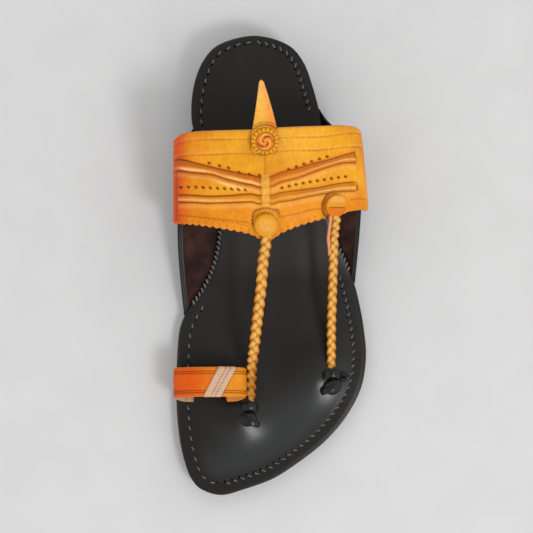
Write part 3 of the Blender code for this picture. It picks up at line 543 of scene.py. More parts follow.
def thong_leather():
    """Black, rubbed and glossy thong."""
    made, tree, shader = new_material("black thong leather")
    tree.links.new(ramp(tree, noise(tree, 120, 5), (0.3, (0.002, 0.002, 0.002)), (0.75, (0.009, 0.0088, 0.0085))), shader.inputs["Base Color"])
    tree.links.new(ramp(tree, noise(tree, 260, 4), (0.3, 0.22), (0.7, 0.40)), shader.inputs["Roughness"])
    shader.inputs["Specular IOR Level"].default_value = 0.15
    shader.inputs["Coat Weight"].default_value = 0.28
    shader.inputs["Coat Roughness"].default_value = 0.11
    add_bump(tree, shader, (noise(tree, 240, 3, (1.0, 1.6, 1.0)), 0.00080, 0.6), (noise(tree, 620, 4), 0.00020, 0.5))
    return made


def waxed_thread(name, dark, pale):
    """Waxed twisted thread, dark in the twist and pale where it is rubbed."""
    made, tree, shader = new_material(name)
    twist = noise(tree, 900, 3, (1.0, 2.0, 1.0))
    tree.links.new(ramp(tree, twist, (0.35, dark), (0.70, pale)), shader.inputs["Base Color"])
    shader.inputs["Roughness"].default_value = 0.38
    add_bump(tree, shader, (twist, 0.00012, 0.6))
    return made


def needle_hole_black():
    """Painted shade for the torn inside of a needle hole."""
    made, tree, shader = new_material("needle hole black")
    torn = noise(tree, 1500, 3)
    tree.links.new(ramp(tree, torn, (0.3, (0.0005, 0.0005, 0.0005)), (0.7, (0.0030, 0.0028, 0.0026))), shader.inputs["Base Color"])
    shader.inputs["Roughness"].default_value = 0.90
    shader.inputs["Specular IOR Level"].default_value = 0.05
    add_bump(tree, shader, (torn, 0.00010, 0.5))
    return made


# %% Orange leathers
def tooled_orange_leather(name):
    """Amber; burnt orange by the burnish mark, which also paints shade over the band's front half; brown by "shade";
    pale by the rub mark, which holds wear and painted highlights; dark by "groove"; hide by "flesh".
    """
    made, tree, shader = new_material(name)
    cloudy = noise(tree, 60, 5)
    amber = ramp(tree, cloudy, (0.28, (0.600, 0.228, 0.006)), (0.50, (0.680, 0.294, 0.010)), (0.78, (0.740, 0.362, 0.020)))
    burnt = ramp(tree, cloudy, (0.25, (0.600, 0.055, 0.001)), (0.80, (0.700, 0.095, 0.001)))
    colour = mix(tree, mark_of(tree, "burnish_and_shade"), amber, burnt)
    colour = mix(tree, mark_of(tree, "shade"), colour, (0.420, 0.095, 0.005))
    colour = mix(tree, mark_of(tree, "rub_and_highlight"), colour, (0.800, 0.520, 0.190))
    colour = mix(tree, mark_of(tree, "pale"), colour, (0.520, 0.330, 0.220))
    colour = mix(tree, mark_of(tree, "groove"), colour, (0.130, 0.018, 0.001))
    hide = ramp(tree, noise(tree, 260, 6), (0.3, (0.330, 0.190, 0.100)), (0.7, (0.480, 0.310, 0.180)))
    colour = mix(tree, mark_of(tree, "flesh"), colour, hide)
    mottle = ramp(tree, noise(tree, 620, 4, (1.0, 0.4, 1.0)), (0.32, 0.91), (0.68, 1.06))
    tree.links.new(mix(tree, 1.0, colour, mottle, "MULTIPLY"), shader.inputs["Base Color"])
    rough = ramp(tree, noise(tree, 140, 4), (0.3, 0.40), (0.75, 0.54))
    rough = mix(tree, mark_of(tree, "flesh"), rough, (0.85, 0.85, 0.85))
    tree.links.new(rough, shader.inputs["Roughness"])
    shader.inputs["Specular IOR Level"].default_value = 0.12
    add_bump(tree, shader, (pores(tree, 1100), 0.00007, 0.35), (noise(tree, 300, 5), 0.00009, 0.30))
    return made


def strand_leather():
    """Glossy amber strands: painted shade darkens them where they touch and pass under each other, and a painted
    highlight pales their raised backs.
    """
    made, tree, shader = new_material("amber braid strands")
    amber = ramp(tree, noise(tree, 150, 4), (0.30, (0.470, 0.175, 0.006)), (0.70, (0.565, 0.255, 0.026)))
    colour = mix(tree, mark_of(tree, "rub_and_highlight"), amber, (0.640, 0.355, 0.082))
    colour = mix(tree, mark_of(tree, "painted_crease_shade"), colour, (0.320, 0.088, 0.003))
    tree.links.new(colour, shader.inputs["Base Color"])
    tree.links.new(ramp(tree, noise(tree, 300, 4), (0.3, 0.38), (0.7, 0.52)), shader.inputs["Roughness"])
    shader.inputs["Specular IOR Level"].default_value = 0.25
    add_bump(tree, shader, (noise(tree, 500, 5), 0.00008, 0.35))
    return made


INSOLE_LEATHER = black_insole_leather()
EDGE_LEATHER = black_edge_leather()
HEEL_RUBBER = black_rubber()
EAR_LEATHER = ear_leather()
THONG_LEATHER = thong_leather()
THREAD = waxed_thread("waxed grey thread", 0.034, 0.125)
WHIP_THREAD = waxed_thread("pale whipping thread", 0.060, 0.200)
HOLE_BLACK = needle_hole_black()
BAND_LEATHER = tooled_orange_leather("tooled orange leather")
STRANDS = strand_leather()
print("materials:", len(bpy.data.materials))

# %% [markdown]
# ## The sole
# The insole, the outsole and the heel's lifts are all flat cuts with a slightly rounded edge.
# A cut piece could be extruded from its outline, but then its top would have no vertices to
# dent. So each layer is a grid of chords from the medial to the lateral edge, denser at the
# edges, and the rounded rim is carried round its border.

# %% A layer of the sole
EDGE_ROUND = 0.0009


def chord_grid(rows, columns, inset):
    """Plan grid: row i runs from the medial to the lateral edge, both moved in by inset; columns
    gather at the edges as (1 - cos(pi t))/2."""
    share = (1 - np.cos(np.pi * np.linspace(0, 1, columns))) / 2
    share = 0.55 * share + 0.45 * np.linspace(0, 1, columns)
    medial, lateral = rows[:, [1, 0]], rows[:, [2, 0]]
    loop = np.concatenate([medial, lateral[::-1]])
    ahead = unit(np.roll(loop, -1, axis=0) - np.roll(loop, 1, axis=0))
    inward = np.stack([-ahead[:, 1], ahead[:, 0]], -1) * inset
    moved = loop + inward
    medial, lateral = moved[: len(rows)], moved[len(rows) :][::-1]
    return medial[:, None] + (lateral - medial)[:, None] * share[None, :, None]


def layer(name, rows, columns, bottom, top, material, round_by, relief=None):
    """Closed layer: top grid + relief, rim of quarter rounds and a straight side, bottom grid."""
    plan = chord_grid(rows, columns, round_by)
    x, along = plan[..., 0], plan[..., 1]
    height, marks = relief(x, along) if relief else (np.zeros_like(x), {})
    upper = place(x, along, top(along) + height)
    lower = place(x, along, bottom(along))
    count = x.size
    border = border_of(*x.shape)
    flat = plan.reshape(-1, 2)[border]
    ahead = unit(np.roll(flat, -1, axis=0) - np.roll(flat, 1, axis=0))
    out = np.stack([ahead[:, 1], -ahead[:, 0]], -1)
    out *= np.sign(np.sum(out * (flat - flat.mean(0)), axis=1).mean())
    turn = np.linspace(0, np.pi / 2, 5)[1:]
    steps = [(np.sin(t), 1.0, -(1 - np.cos(t)) * round_by) for t in turn]
    steps += [(np.sin(t), 0.0, (1 - np.cos(t)) * round_by) for t in turn[::-1]]
    rings = []
    for reach, from_top, rise in steps:
        spot = flat + out * round_by * reach
        level = top(flat[:, 1]) * from_top + bottom(flat[:, 1]) * (1 - from_top)
        rings.append(place(spot[:, 0], spot[:, 1], level + rise))
    loops = [border] + [np.arange(len(border)) + 2 * count + k * len(border) for k in range(len(rings))]
    loops.append(border + count)
    faces = [grid_faces(*x.shape), grid_faces(*x.shape, count)[:, ::-1]]
    for a, b in zip(loops, loops[1:]):
        faces.append(np.stack([a, np.roll(a, -1), np.roll(b, -1), b], -1))
    points = np.concatenate([upper.reshape(-1, 3), lower.reshape(-1, 3)] + rings)
    blank = np.zeros(len(points) - count)
    marks = {mark: np.concatenate([values.ravel(), blank]) for mark, values in marks.items()}
    return make_piece(name, points, np.concatenate(faces), material, marks)


def full_rows(count):
    """Rows of the whole sole, even along it but closer at the round ends, stopping just short of them."""
    t = (1 - np.cos(np.linspace(0, np.pi, count))) / 2
    t = 0.6 * t + 0.4 * np.linspace(0, 1, count)
    at = t * (len(EDGE) - 1) * 0.9996 + 0.05
    near = np.arange(len(EDGE))
    return np.stack([np.interp(at, near, EDGE[:, k]) for k in range(3)], axis=1)


# %% [markdown]
# ## The insole's face
# A line of stitches sits in a shallow channel a few millimetres inside the edge. The thongs
# pull the leather up round their slits, which is why light gathers in front of each knot, and
# the foot presses it down. The channel follows the outline at its own distance, so we measure
# how far each vertex is from that line. The swells are soft hills, listed in a table.

# %% Relief of the insole
THONG_SPOTS = {
    # braid: (x as a share of BALL_WIDTH, along as a share of SOLE_LENGTH)
    "centre": (0.0207, 0.8079),
    "lateral": (-0.4181, 0.7375),
}
CHANNEL_ROWS = (
    # along as a share of SOLE_LENGTH, distance of the channel from the medial and the lateral edge
    (0.00, 0.0040, 0.0040),
    (0.10, 0.0062, 0.0058),
    (0.30, 0.0050, 0.0050),
    (0.60, 0.0068, 0.0078),
    (0.85, 0.0070, 0.0080),
    (1.00, 0.0066, 0.0066),
)
CHANNEL_WIDTH = 0.0012
CHANNEL_DEPTH = 0.00012
EDGE_ROLL = 0.00026
EDGE_ROLL_WIDTH = 0.0034
SWELLS = (
    # x share, along share, length along, width across, rise in metres: the thongs pull the leather up,
    # and the heel, the ball and the big toe press it down
    (0.082, 0.837, 0.0140, 0.0165, 0.0039),
    (-0.335, 0.745, 0.0135, 0.0130, 0.0031),
    (-0.100, 0.785, 0.040, 0.034, 0.0014),
    (0.000, 0.130, 0.034, 0.022, -0.0006),
    (-0.060, 0.640, 0.040, 0.022, -0.0006),
    (-0.250, 0.520, 0.050, 0.009, 0.0004),
    (0.230, 0.745, 0.036, 0.024, 0.0017),
)


def channel_line(count):
    """Points of the stitch line: the edge moved in along its normal by the table's distance."""
    rows = full_rows(count)
    table = np.array(CHANNEL_ROWS)
    sides = []
    for k, side in ((1, 1.0), (2, -1.0)):
        line = rows[:, [k, 0]]
        ahead = unit(np.gradient(line, axis=0))
        inward = np.stack([-ahead[:, 1], ahead[:, 0]], -1) * side
        inset = smooth(rows[:, 0] / SOLE_LENGTH, table[:, 0], table[:, k])
        sides.append(line + inward * inset[:, None])
    return sides


def nearest(x, along, line):
    """Distance of each place to the nearest of a line's points."""
    points = np.stack([x.ravel(), along.ravel()], -1)
    distance = np.full(len(points), 1.0)
    for part in np.array_split(np.arange(len(line)), 12):
        gap = np.linalg.norm(points[:, None] - line[None, part], axis=2).min(axis=1)
        distance = np.minimum(distance, gap)
    return distance.reshape(x.shape)


def beside_ear(side, along):
    """1 where an ear stands beside the insole, 0 elsewhere."""
    rear, front = np.array(EAR_SPANS[side][:2]) * SOLE_LENGTH
    return step_up(along, rear, rear + 0.004) * (1 - step_up(along, front - 0.008, front - 0.004))


def insole_relief(x, along):
    """Height = swells' hills - channel depth * hill of the distance to the stitch line - roll at the edge."""
    side_lines = channel_line(500)
    channel = bump(nearest(x, along, np.concatenate(side_lines)), CHANNEL_WIDTH)
    channel = channel * np.where(x > 0, 1 - beside_ear("medial", along), 1 - beside_ear("lateral", along))
    rows = full_rows(700)
    rim = np.concatenate([rows[:, [1, 0]], rows[:, [2, 0]]])
    height = -CHANNEL_DEPTH * channel - EDGE_ROLL * (1 - step_up(nearest(x, along, rim), 0.0, EDGE_ROLL_WIDTH))
    polish = np.zeros_like(height)
    for at_x, at_along, length, width, rise in SWELLS:
        across = (x - at_x * BALL_WIDTH) / width
        forward = (along - at_along * SOLE_LENGTH) / length
        height += rise * np.exp(-(across**2) - forward**2)
        polish = np.maximum(polish, step_up(rise, 0.0018, 0.0024) * np.exp(-(across**2 + forward**2) / 8))
    # Painted sheen: the colour is lightened towards the toe and away from the rim, where the leather would catch a
    # broad reflection.
    ahead = along / SOLE_LENGTH - 0.30 * x / BALL_WIDTH
    painted_sheen = step_up(ahead, 0.76, 0.92) * step_up(nearest(x, along, rim), 0.004, 0.016)
    return height, {"channel": 0.6 * channel, "polish": polish, "painted_sheen": painted_sheen}


# %% Build the layers
insole = layer(
    "insole_leather", full_rows(300), 110, lambda a: outsole_top(a) + SEAM_GAP, insole_top, INSOLE_LEATHER, EDGE_ROUND,
    insole_relief,
)
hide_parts("insole")
outsole = layer("outsole_leather", full_rows(240), 40, outsole_bottom, outsole_top, EDGE_LEATHER, EDGE_ROUND)
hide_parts("outsole")

heel_rows = full_rows(300)
heel_rows = heel_rows[heel_rows[:, 0] < HEEL_BREAST]
lift_thick = (HEEL_HEIGHT - HEEL_LIFTS * SEAM_GAP) / HEEL_LIFTS
for lift in range(HEEL_LIFTS):
    shrink = 1 - HEEL_TAPER * (HEEL_LIFTS - lift) / HEEL_CENTRE
    rows = np.column_stack([HEEL_CENTRE + (heel_rows[:, 0] - HEEL_CENTRE) * shrink, heel_rows[:, 1:] * shrink])
    base = lift * (lift_thick + SEAM_GAP)
    node = "heel_top_piece" if lift == 0 else f"heel_lift_{lift}"
    piece = layer(
        f"{node}_dressed", rows, 30, lambda a, b=base: a * 0 + b, lambda a, b=base: a * 0 + b + lift_thick,
        HEEL_RUBBER if lift == 0 else EDGE_LEATHER, 0.0004,
    )
    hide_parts(node)
print("sole layers:", 2 + HEEL_LIFTS)

# %% [markdown]
# ## The ears
# An ear is a flap of thick leather. Its lower edge is trapped between insole and outsole, and
# it rises to carry the band. We bend it as a bag maker would: a flange, a tight bend, then one
# long curve that leans in under the band. The curve is a cubic Bezier from the bend to the top.

# %% Ear surfaces
def band_edges(across):
    """Distances along the sandal of the band's rear and front edges."""
    table = np.array(BAND_ROWS)
    return tuple(smooth(across, table[:, 0], table[:, k]) * SOLE_LENGTH for k in (1, 2))


def band_reach(side, share):
    """Distance of the band's widest line from the heel's axis."""
    if side == "medial":
        return np.full_like(share, BAND_MEDIAL_REACH)
    return BAND_LATERAL_REACH_REAR + (BAND_LATERAL_REACH - BAND_LATERAL_REACH_REAR) * share


EAR_DRAW = {
    # side: how far forward the ear begins and ends to be drawn in, as shares of SOLE_LENGTH, and how much
    "medial": (0.42, 0.52, 0.14),
    "lateral": (0.42, 0.52, 0.34),
}


EAR_END_DRAW = 0.85


def ear_end(share):
    """0 along most of an ear, rising to 1 at both its ends, where the leather is pared thin."""
    return np.maximum(1 - step_up(share, 0.0, 0.12), step_up(share, 0.86, 1.0))


def ear_middle(side, share, steps):
    """Middle surface, share by height: flange, an arc of EAR_BEND, then a cubic Bezier to the top."""
    sign = 1.0 if side == "medial" else -1.0
    spans = np.array(EAR_SPANS[side]) * SOLE_LENGTH
    base_along = spans[0] + (spans[1] - spans[0]) * share
    top_along = spans[2] + (spans[3] - spans[2]) * share
    normal_x, normal_along = edge_normal(side, base_along)
    foot_x = edge_x(side, base_along)
    near_end = ear_end(share)

    def beside(outward, height):
        outward = outward * (1 - EAR_END_DRAW * near_end)
        along = base_along + normal_along * outward
        return place(foot_x + normal_x * outward, along, outsole_top(along) + SEAM_GAP + EAR_THICK / 2 + height)

    rear, front = (edge[0] for edge in band_edges(np.array([sign])))
    reach = band_reach(side, np.clip((top_along - rear) / (front - rear), 0, 1))
    top_x = sign * (reach - BAND_THICK / 2 - BAND_TAB_GAP - EAR_THICK / 2)
    top = place(top_x, top_along, insole_top(top_along) + EAR_RISE)
    start = beside(EAR_CLEAR, 0.0)
    chord = top - start
    steepness = np.arctan2(chord[..., 2], np.abs(chord[..., 0])) * EAR_LEAN_SHARE
    lift = np.clip(steepness, *np.radians(EAR_LEAN_LIMITS_DEG))
    sections = [beside(-0.0020, 0.0), beside(-0.0008, 0.0), start]
    for turn in np.linspace(0, 1, 7)[1:]:
        angle = lift * turn
        sections.append(beside(EAR_CLEAR + EAR_BEND * np.sin(angle), EAR_BEND * (1 - np.cos(angle))))
    leave = sections[-1]
    span = np.linalg.norm(top - leave, axis=-1, keepdims=True)
    out = np.stack([normal_x * np.cos(lift), np.zeros_like(share), np.sin(lift)], -1)
    before = leave + out * span * EAR_FOOT_PULL_SHARE
    rake_rear, rake_front = EAR_RAKE_SHARES[side]
    rake = rake_rear + (rake_front - rake_rear) * share
    before[..., 1] = leave[..., 1] + (top[..., 1] - leave[..., 1]) * rake
    after = top - span * (0, 0, EAR_TOP_PULL_SHARE)
    for t in np.linspace(0, 1, steps)[1:]:
        sections.append(
            (1 - t) ** 3 * leave + 3 * t * (1 - t) ** 2 * before + 3 * t * t * (1 - t) * after + t**3 * top
        )
    sections = np.stack(sections, axis=1)
    begin, end, drawn = EAR_DRAW[side]
    inwards = drawn * step_up(base_along / SOLE_LENGTH, begin, end)[:, None]
    sections[:, 8:, 0] -= inwards * (sections[:, 8:, 0] - sections[:, 8:9, 0])
    return sections


def ear_x(side, along, height):
    """x of an ear's middle surface at a place along the sandal and a height, between its sections."""
    sections = ear_middle(side, np.linspace(0, 1, 61), 30)[:, 8:]
    y, z = (a.ravel() for a in np.broadcast_arrays(np.asarray(along) - HEEL_CENTRE, height))
    at_y = np.stack([np.interp(z, s[:, 2], s[:, 1]) for s in sections], -1)
    at_x = np.stack([np.interp(z, s[:, 2], s[:, 0]) for s in sections], -1)
    i = np.clip((at_y < y[:, None]).sum(axis=1) - 1, 0, len(sections) - 2)
    row = np.arange(len(y))
    t = np.clip((y - at_y[row, i]) / np.maximum(at_y[row, i + 1] - at_y[row, i], 1e-9), 0, 1)
    return (at_x[row, i] * (1 - t) + at_x[row, i + 1] * t).reshape(np.broadcast(along, height).shape)


# %% Dress the ears
EAR_RIM = 0.0030
for side in ("medial", "lateral"):
    share = np.concatenate([[0, 0.004], np.linspace(0.012, 0.988, 130), [0.996, 1]])
    middle = ear_middle(side, share, 44)
    sign = 1.0 if side == "medial" else -1.0
    out = normals(middle)
    out *= np.sign(out[..., :1] * sign + out[..., 2:] * 1e-3)
    upward = np.linspace(0, 1, middle.shape[1])[None, :]
    wave = np.sin(share[:, None] * 19 + upward * 3.0) + 0.6 * np.sin(share[:, None] * 31 - upward * 5.0)
    ripple = 0.00025 * wave * np.sin(np.pi * upward)
    gaps = np.linalg.norm(np.diff(middle, axis=0), axis=2)
    to_front = np.concatenate([np.cumsum(gaps[::-1], axis=0)[::-1], np.zeros((1, middle.shape[1]))])
    to_rear = np.concatenate([np.zeros((1, middle.shape[1])), np.cumsum(gaps, axis=0)])
    to_rim = np.minimum(to_front, to_rear)
    shown = step_up(share, 0.30, 0.45)[:, None]
    bead = shown * (0.00035 * bump(to_rim - EAR_RIM, 0.0007) + 0.0003 * bump(to_rim - 0.0010, 0.0006))
    pared = EAR_THICK / 2 * (1 - 0.55 * ear_end(share)[:, None] * (1 - upward))
    grain = middle + out * (pared + ripple)[..., None]
    flesh = middle - out * (pared - ripple + bead)[..., None]
    bare = step_up(to_rim, EAR_RIM - 0.0006, EAR_RIM + 0.0004) * step_up(share, 0.15, 0.25)[:, None]
    # Painted highlight: a pale line along the bead and the rim, on the shown front part of each ear.
    painted_rim_highlight = shown * np.maximum(bump(to_rim - EAR_RIM, 0.0005), 0.6 * bump(to_rim - 0.0008, 0.0005))
    piece = shell(f"ear_{side}_leather", grain, flesh, EAR_LEATHER, {"flesh": (0.0, bare), "rub_and_highlight": (0.0, 0.8 * painted_rim_highlight)})
    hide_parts(f"ear_{side}")
print("ears dressed")

# %% [markdown]
# ## The band over the instep
# This broad strap is what makes the sandal: wet leather tooled with rows of stitches, dots and
# fanned wings, with a scalloped front edge. We measure the pattern in the band's own
# coordinates: `across` runs from its lateral end (-1) to its medial end (1), `share` from
# its rear edge (0) to its front edge (1). The arch itself is a superellipse whose powers differ
# to the left and right of the crown, because a foot's instep is not symmetrical.

# %% The band's middle surface
def band_arch(across, share):
    """Middle surface: x = middle + half * across; height = base + rise * (1 - d^p)^(1/p), d from the crown."""
    across, share = np.broadcast_arrays(np.asarray(across, float), np.asarray(share, float))
    rear, front = band_edges(across)
    along = rear + (front - rear) * share
    rear_end, front_end = band_edges(np.array([-1.0, 1.0]))
    low = [insole_top(r + (f - r) * share) + EAR_RISE for r, f in zip(rear_end, front_end)]
    base = low[0] + (low[1] - low[0]) * (across + 1) / 2
    rear_crown = insole_top(rear) + CROWN_RISE_REAR
    front_crown = insole_top(front) + CROWN_RISE_FRONT
    crown = rear_crown + (front_crown - rear_crown) * share
    lateral = band_reach("lateral", share)
    middle, half = (BAND_MEDIAL_REACH - lateral) / 2, (BAND_MEDIAL_REACH + lateral) / 2
    medial = across > CROWN_ACROSS_SHARE
    power = np.where(medial, CROWN_POWER_MEDIAL, CROWN_POWER_LATERAL)
    reach = np.where(medial, 1 - CROWN_ACROSS_SHARE, 1 + CROWN_ACROSS_SHARE)
    d = np.minimum(np.abs(across - CROWN_ACROSS_SHARE) / reach, 1)
    return place(middle + half * across, along, base + (crown - base) * (1 - d**power) ** (1 / power))


def band_point(across, share, lift):
    """A point that stands off the middle surface by lift, and the outward direction there."""
    step = 0.004
    sideways = band_arch(across + step, share) - band_arch(across - step, share)
    forward = band_arch(across, share + step) - band_arch(across, share - step)
    outward = unit(np.cross(sideways, forward))
    return band_arch(across, share) + outward * np.asarray(lift)[..., None], outward


def band_width(across):
    """Distance from the rear to the front edge."""
    rear, front = band_edges(across)
    return front - rear


# %% The band's grid, with its tabs down the ears
ROWS, COLUMNS, TAB_ROWS = 304, 134, 16
angles = np.linspace(-np.pi / 2, np.pi / 2, ROWS)
reach = np.where(angles > 0, 1 - CROWN_ACROSS_SHARE, 1 + CROWN_ACROSS_SHARE)
band_across = CROWN_ACROSS_SHARE + reach * np.sin(angles)
band_share = np.linspace(0, 1, COLUMNS)
SCALLOP_PITCH = 0.0042
SCALLOP_DEPTH = 0.0011
middle_line = band_arch(band_across, np.full(ROWS, 0.9))
over_foot = np.concatenate([[0], np.cumsum(np.linalg.norm(np.diff(middle_line, axis=0), axis=1))])


def scallops(across, distance):
    """How far the front edge stands out: |sin| arcs of one pitch, flattened at the lateral end and the button."""
    arcs = np.abs(np.sin(np.pi * distance / SCALLOP_PITCH)) * SCALLOP_DEPTH
    return arcs * step_up(across, -0.80, -0.70) * (1 - bump(across - 0.07, 0.09))


edge_out = scallops(band_across, over_foot) / band_width(band_across)
near_front = step_up(band_share, 0.86, 1.0)
share_grid = band_share[None, :] + near_front[None, :] * (edge_out[:, None] - 0.3 * SCALLOP_DEPTH / 0.05)
across_grid = np.broadcast_to(band_across[:, None], share_grid.shape)
arch = band_arch(across_grid, share_grid)
tabs = []
for side, end in (("lateral", 0), ("medial", -1)):
    along = arch[end, :, 1] + HEEL_CENTRE
    lift = EAR_THICK / 2 + BAND_TAB_GAP + BAND_THICK / 2
    depth = np.linspace(1, 0.04, TAB_ROWS)[:, None] * BAND_TAB
    height = arch[end, :, 2][None, :] - depth
    along = np.broadcast_to(along, height.shape)
    step = 0.001
    slope_y = (ear_x(side, along + step, height) - ear_x(side, along - step, height)) / (2 * step)
    slope_z = (ear_x(side, along, height + step) - ear_x(side, along, height - step)) / (2 * step)
    sign = 1.0 if side == "medial" else -1.0
    away = unit(np.stack([np.ones_like(slope_y), -slope_y, -slope_z], -1)) * sign
    tabs.append(place(ear_x(side, along, height), along, height) + away * lift)
band_middle = np.concatenate([tabs[0], arch, tabs[1][::-1]])
band_a = np.concatenate([np.full((TAB_ROWS, COLUMNS), -1.0), across_grid, np.full((TAB_ROWS, COLUMNS), 1.0)])
band_s = np.concatenate([share_grid[:1].repeat(TAB_ROWS, 0), share_grid, share_grid[-1:].repeat(TAB_ROWS, 0)])
print("band grid:", band_middle.shape[:2])

# %% [markdown]
# ## Tooling the band
# The tooler presses lines, dots and folded wings. Each is a soft function of the distance to a
# line drawn in band coordinates: grooves are narrow valleys, wings are steps with rounded
# shoulders, dots are small hills. Whatever sinks also gathers dye, so each mark that cuts the
# height also feeds the colour.

# %% Lines of the pattern
REAR_LINES = (
    ((-0.978, 0.047), (-0.513, 0.093), (-0.123, 0.076), (0.227, 0.067), (0.713, 0.068), (0.957, 0.078)),
    ((-0.959, 0.225), (-0.506, 0.242), (-0.119, 0.208), (0.229, 0.207), (0.714, 0.233), (0.957, 0.238)),
)
FRONT_LINES = (
    ((0.25, 0.905), (0.344, 0.916), (0.549, 0.924), (0.719, 0.930), (0.923, 0.930), (1.0, 0.930)),
    ((-0.512, 0.905), (-0.392, 0.891), (-0.220, 0.882), (-0.067, 0.855)),
    ((-0.985, 0.885), (-0.90, 0.875), (-0.80, 0.872)),
)
WINGS = {
    # name: rear border and front border, along the band
    "upper_medial": (
        ((0.022, 0.425), (0.233, 0.422), (0.457, 0.396), (0.715, 0.344), (0.888, 0.289), (0.985, 0.254)),
        ((0.024, 0.511), (0.235, 0.514), (0.458, 0.484), (0.630, 0.441), (0.802, 0.429), (0.985, 0.388)),
    ),
    "upper_lateral": (
        ((-0.891, 0.295), (-0.775, 0.327), (-0.590, 0.365), (-0.411, 0.388), (-0.235, 0.413), (0.118, 0.425)),
        ((-0.882, 0.420), (-0.769, 0.417), (-0.586, 0.441), (-0.407, 0.479), (-0.232, 0.509), (0.118, 0.511)),
    ),
    "lower_medial": (
        ((0.022, 0.580), (0.237, 0.615), (0.460, 0.661), (0.717, 0.692), (0.945, 0.689), (0.950, 0.689)),
        ((0.022, 0.650), (0.238, 0.691), (0.461, 0.732), (0.718, 0.765), (0.945, 0.770), (0.950, 0.770)),
    ),
    "lower_lateral": (
        ((-0.865, 0.667), (-0.665, 0.659), (-0.488, 0.662), (-0.228, 0.639), (0.118, 0.580)),
        ((-0.859, 0.770), (-0.660, 0.747), (-0.485, 0.737), (-0.225, 0.726), (0.118, 0.650)),
    ),
}
RIDGE_LIGHT = {
    # how much painted highlight lightens the ridge, along the band
    "upper_medial": ((0.0, 0.5), (0.25, 0.75), (0.40, 0.70), (0.52, 0.30), (0.62, 0.40), (0.72, 0.9), (0.88, 1.0), (0.94, 0.3), (1.0, 0.0)),
    "upper_lateral": ((-1.0, 0.55), (-0.60, 0.40), (-0.30, 0.25), (0.0, 0.15)),
    "lower_medial": ((0.0, 0.10), (0.40, 0.30), (0.80, 0.55), (1.0, 0.45)),
    "lower_lateral": ((-1.0, 0.55), (-0.60, 0.50), (-0.30, 0.30), (0.0, 0.10)),
}
STRIP_BROWN = {
    # how brown each wing's strip is, in the part nearer its rear line
    "upper_medial": 0.85, "upper_lateral": 0.50, "lower_medial": 0.40, "lower_lateral": 0.32,
}
DOTS = (
    # row of punched dots: (across, share) of its first dot, its middle and its last dot, and how many
    ((0.646, 0.322), (0.540, 0.346), (0.448, 0.365), 3),
    ((0.337, 0.406), (0.233, 0.416), (0.129, 0.405), 3),
    ((-0.174, 0.404), (-0.377, 0.367), (-0.583, 0.324), 6),
    ((0.931, 0.596), (0.600, 0.592), (0.279, 0.578), 10),
    ((-0.100, 0.572), (-0.430, 0.580), (-0.768, 0.587), 10),
)
DOT_LONG = 0.00115
DOT_WIDE = 0.00068
HOOK_AT = -0.885
STRIP_SPAN = (0.40, 0.70)
STRIP_HALF = 0.046
GROOVE_DEPTH = 0.0006
LINE_WIDTH = 0.00042
WING_STEP = 0.0009
STRIP_STEP = 0.0008


def line_share(line, across):
    """The line's share at each place across."""
    table = np.array(line)
    return smooth(across, table[:, 0], table[:, 1])


def within(line, across, soft=0.010):
    """1 between the line's ends and 0 beyond them."""
    low, high = line[0][0], line[-1][0]
    return step_up(across, low - soft, low + soft) * (1 - step_up(across, high - soft, high + soft))


def dot_rows(across, share, width):
    """Slanted punched dots: hills of the distance to each dot's centre, turned by thirty degrees."""
    marks = np.zeros_like(share)
    for first, middle, last, count in DOTS:
        t = np.linspace(0, 1, count)[:, None]
        a, b, c = (np.array(v) for v in (first, middle, last))
        spots = (1 - t) ** 2 * a + 2 * t * (1 - t) * (2 * b - (a + c) / 2) + t**2 * c
        for at_across, at_share in spots:
            right = (across - at_across) * BAND_HALF_SPAN
            down = (share - at_share) * width
            long, wide = right * 0.87 - down * 0.5, right * 0.5 + down * 0.87
            marks = np.maximum(marks, np.exp(-((long / DOT_LONG) ** 4) - (wide / DOT_WIDE) ** 4))
    return marks


# %% Relief of the wings and the edges
BAND_HALF_SPAN = (BAND_MEDIAL_REACH + BAND_LATERAL_REACH) / 2 * 1.15


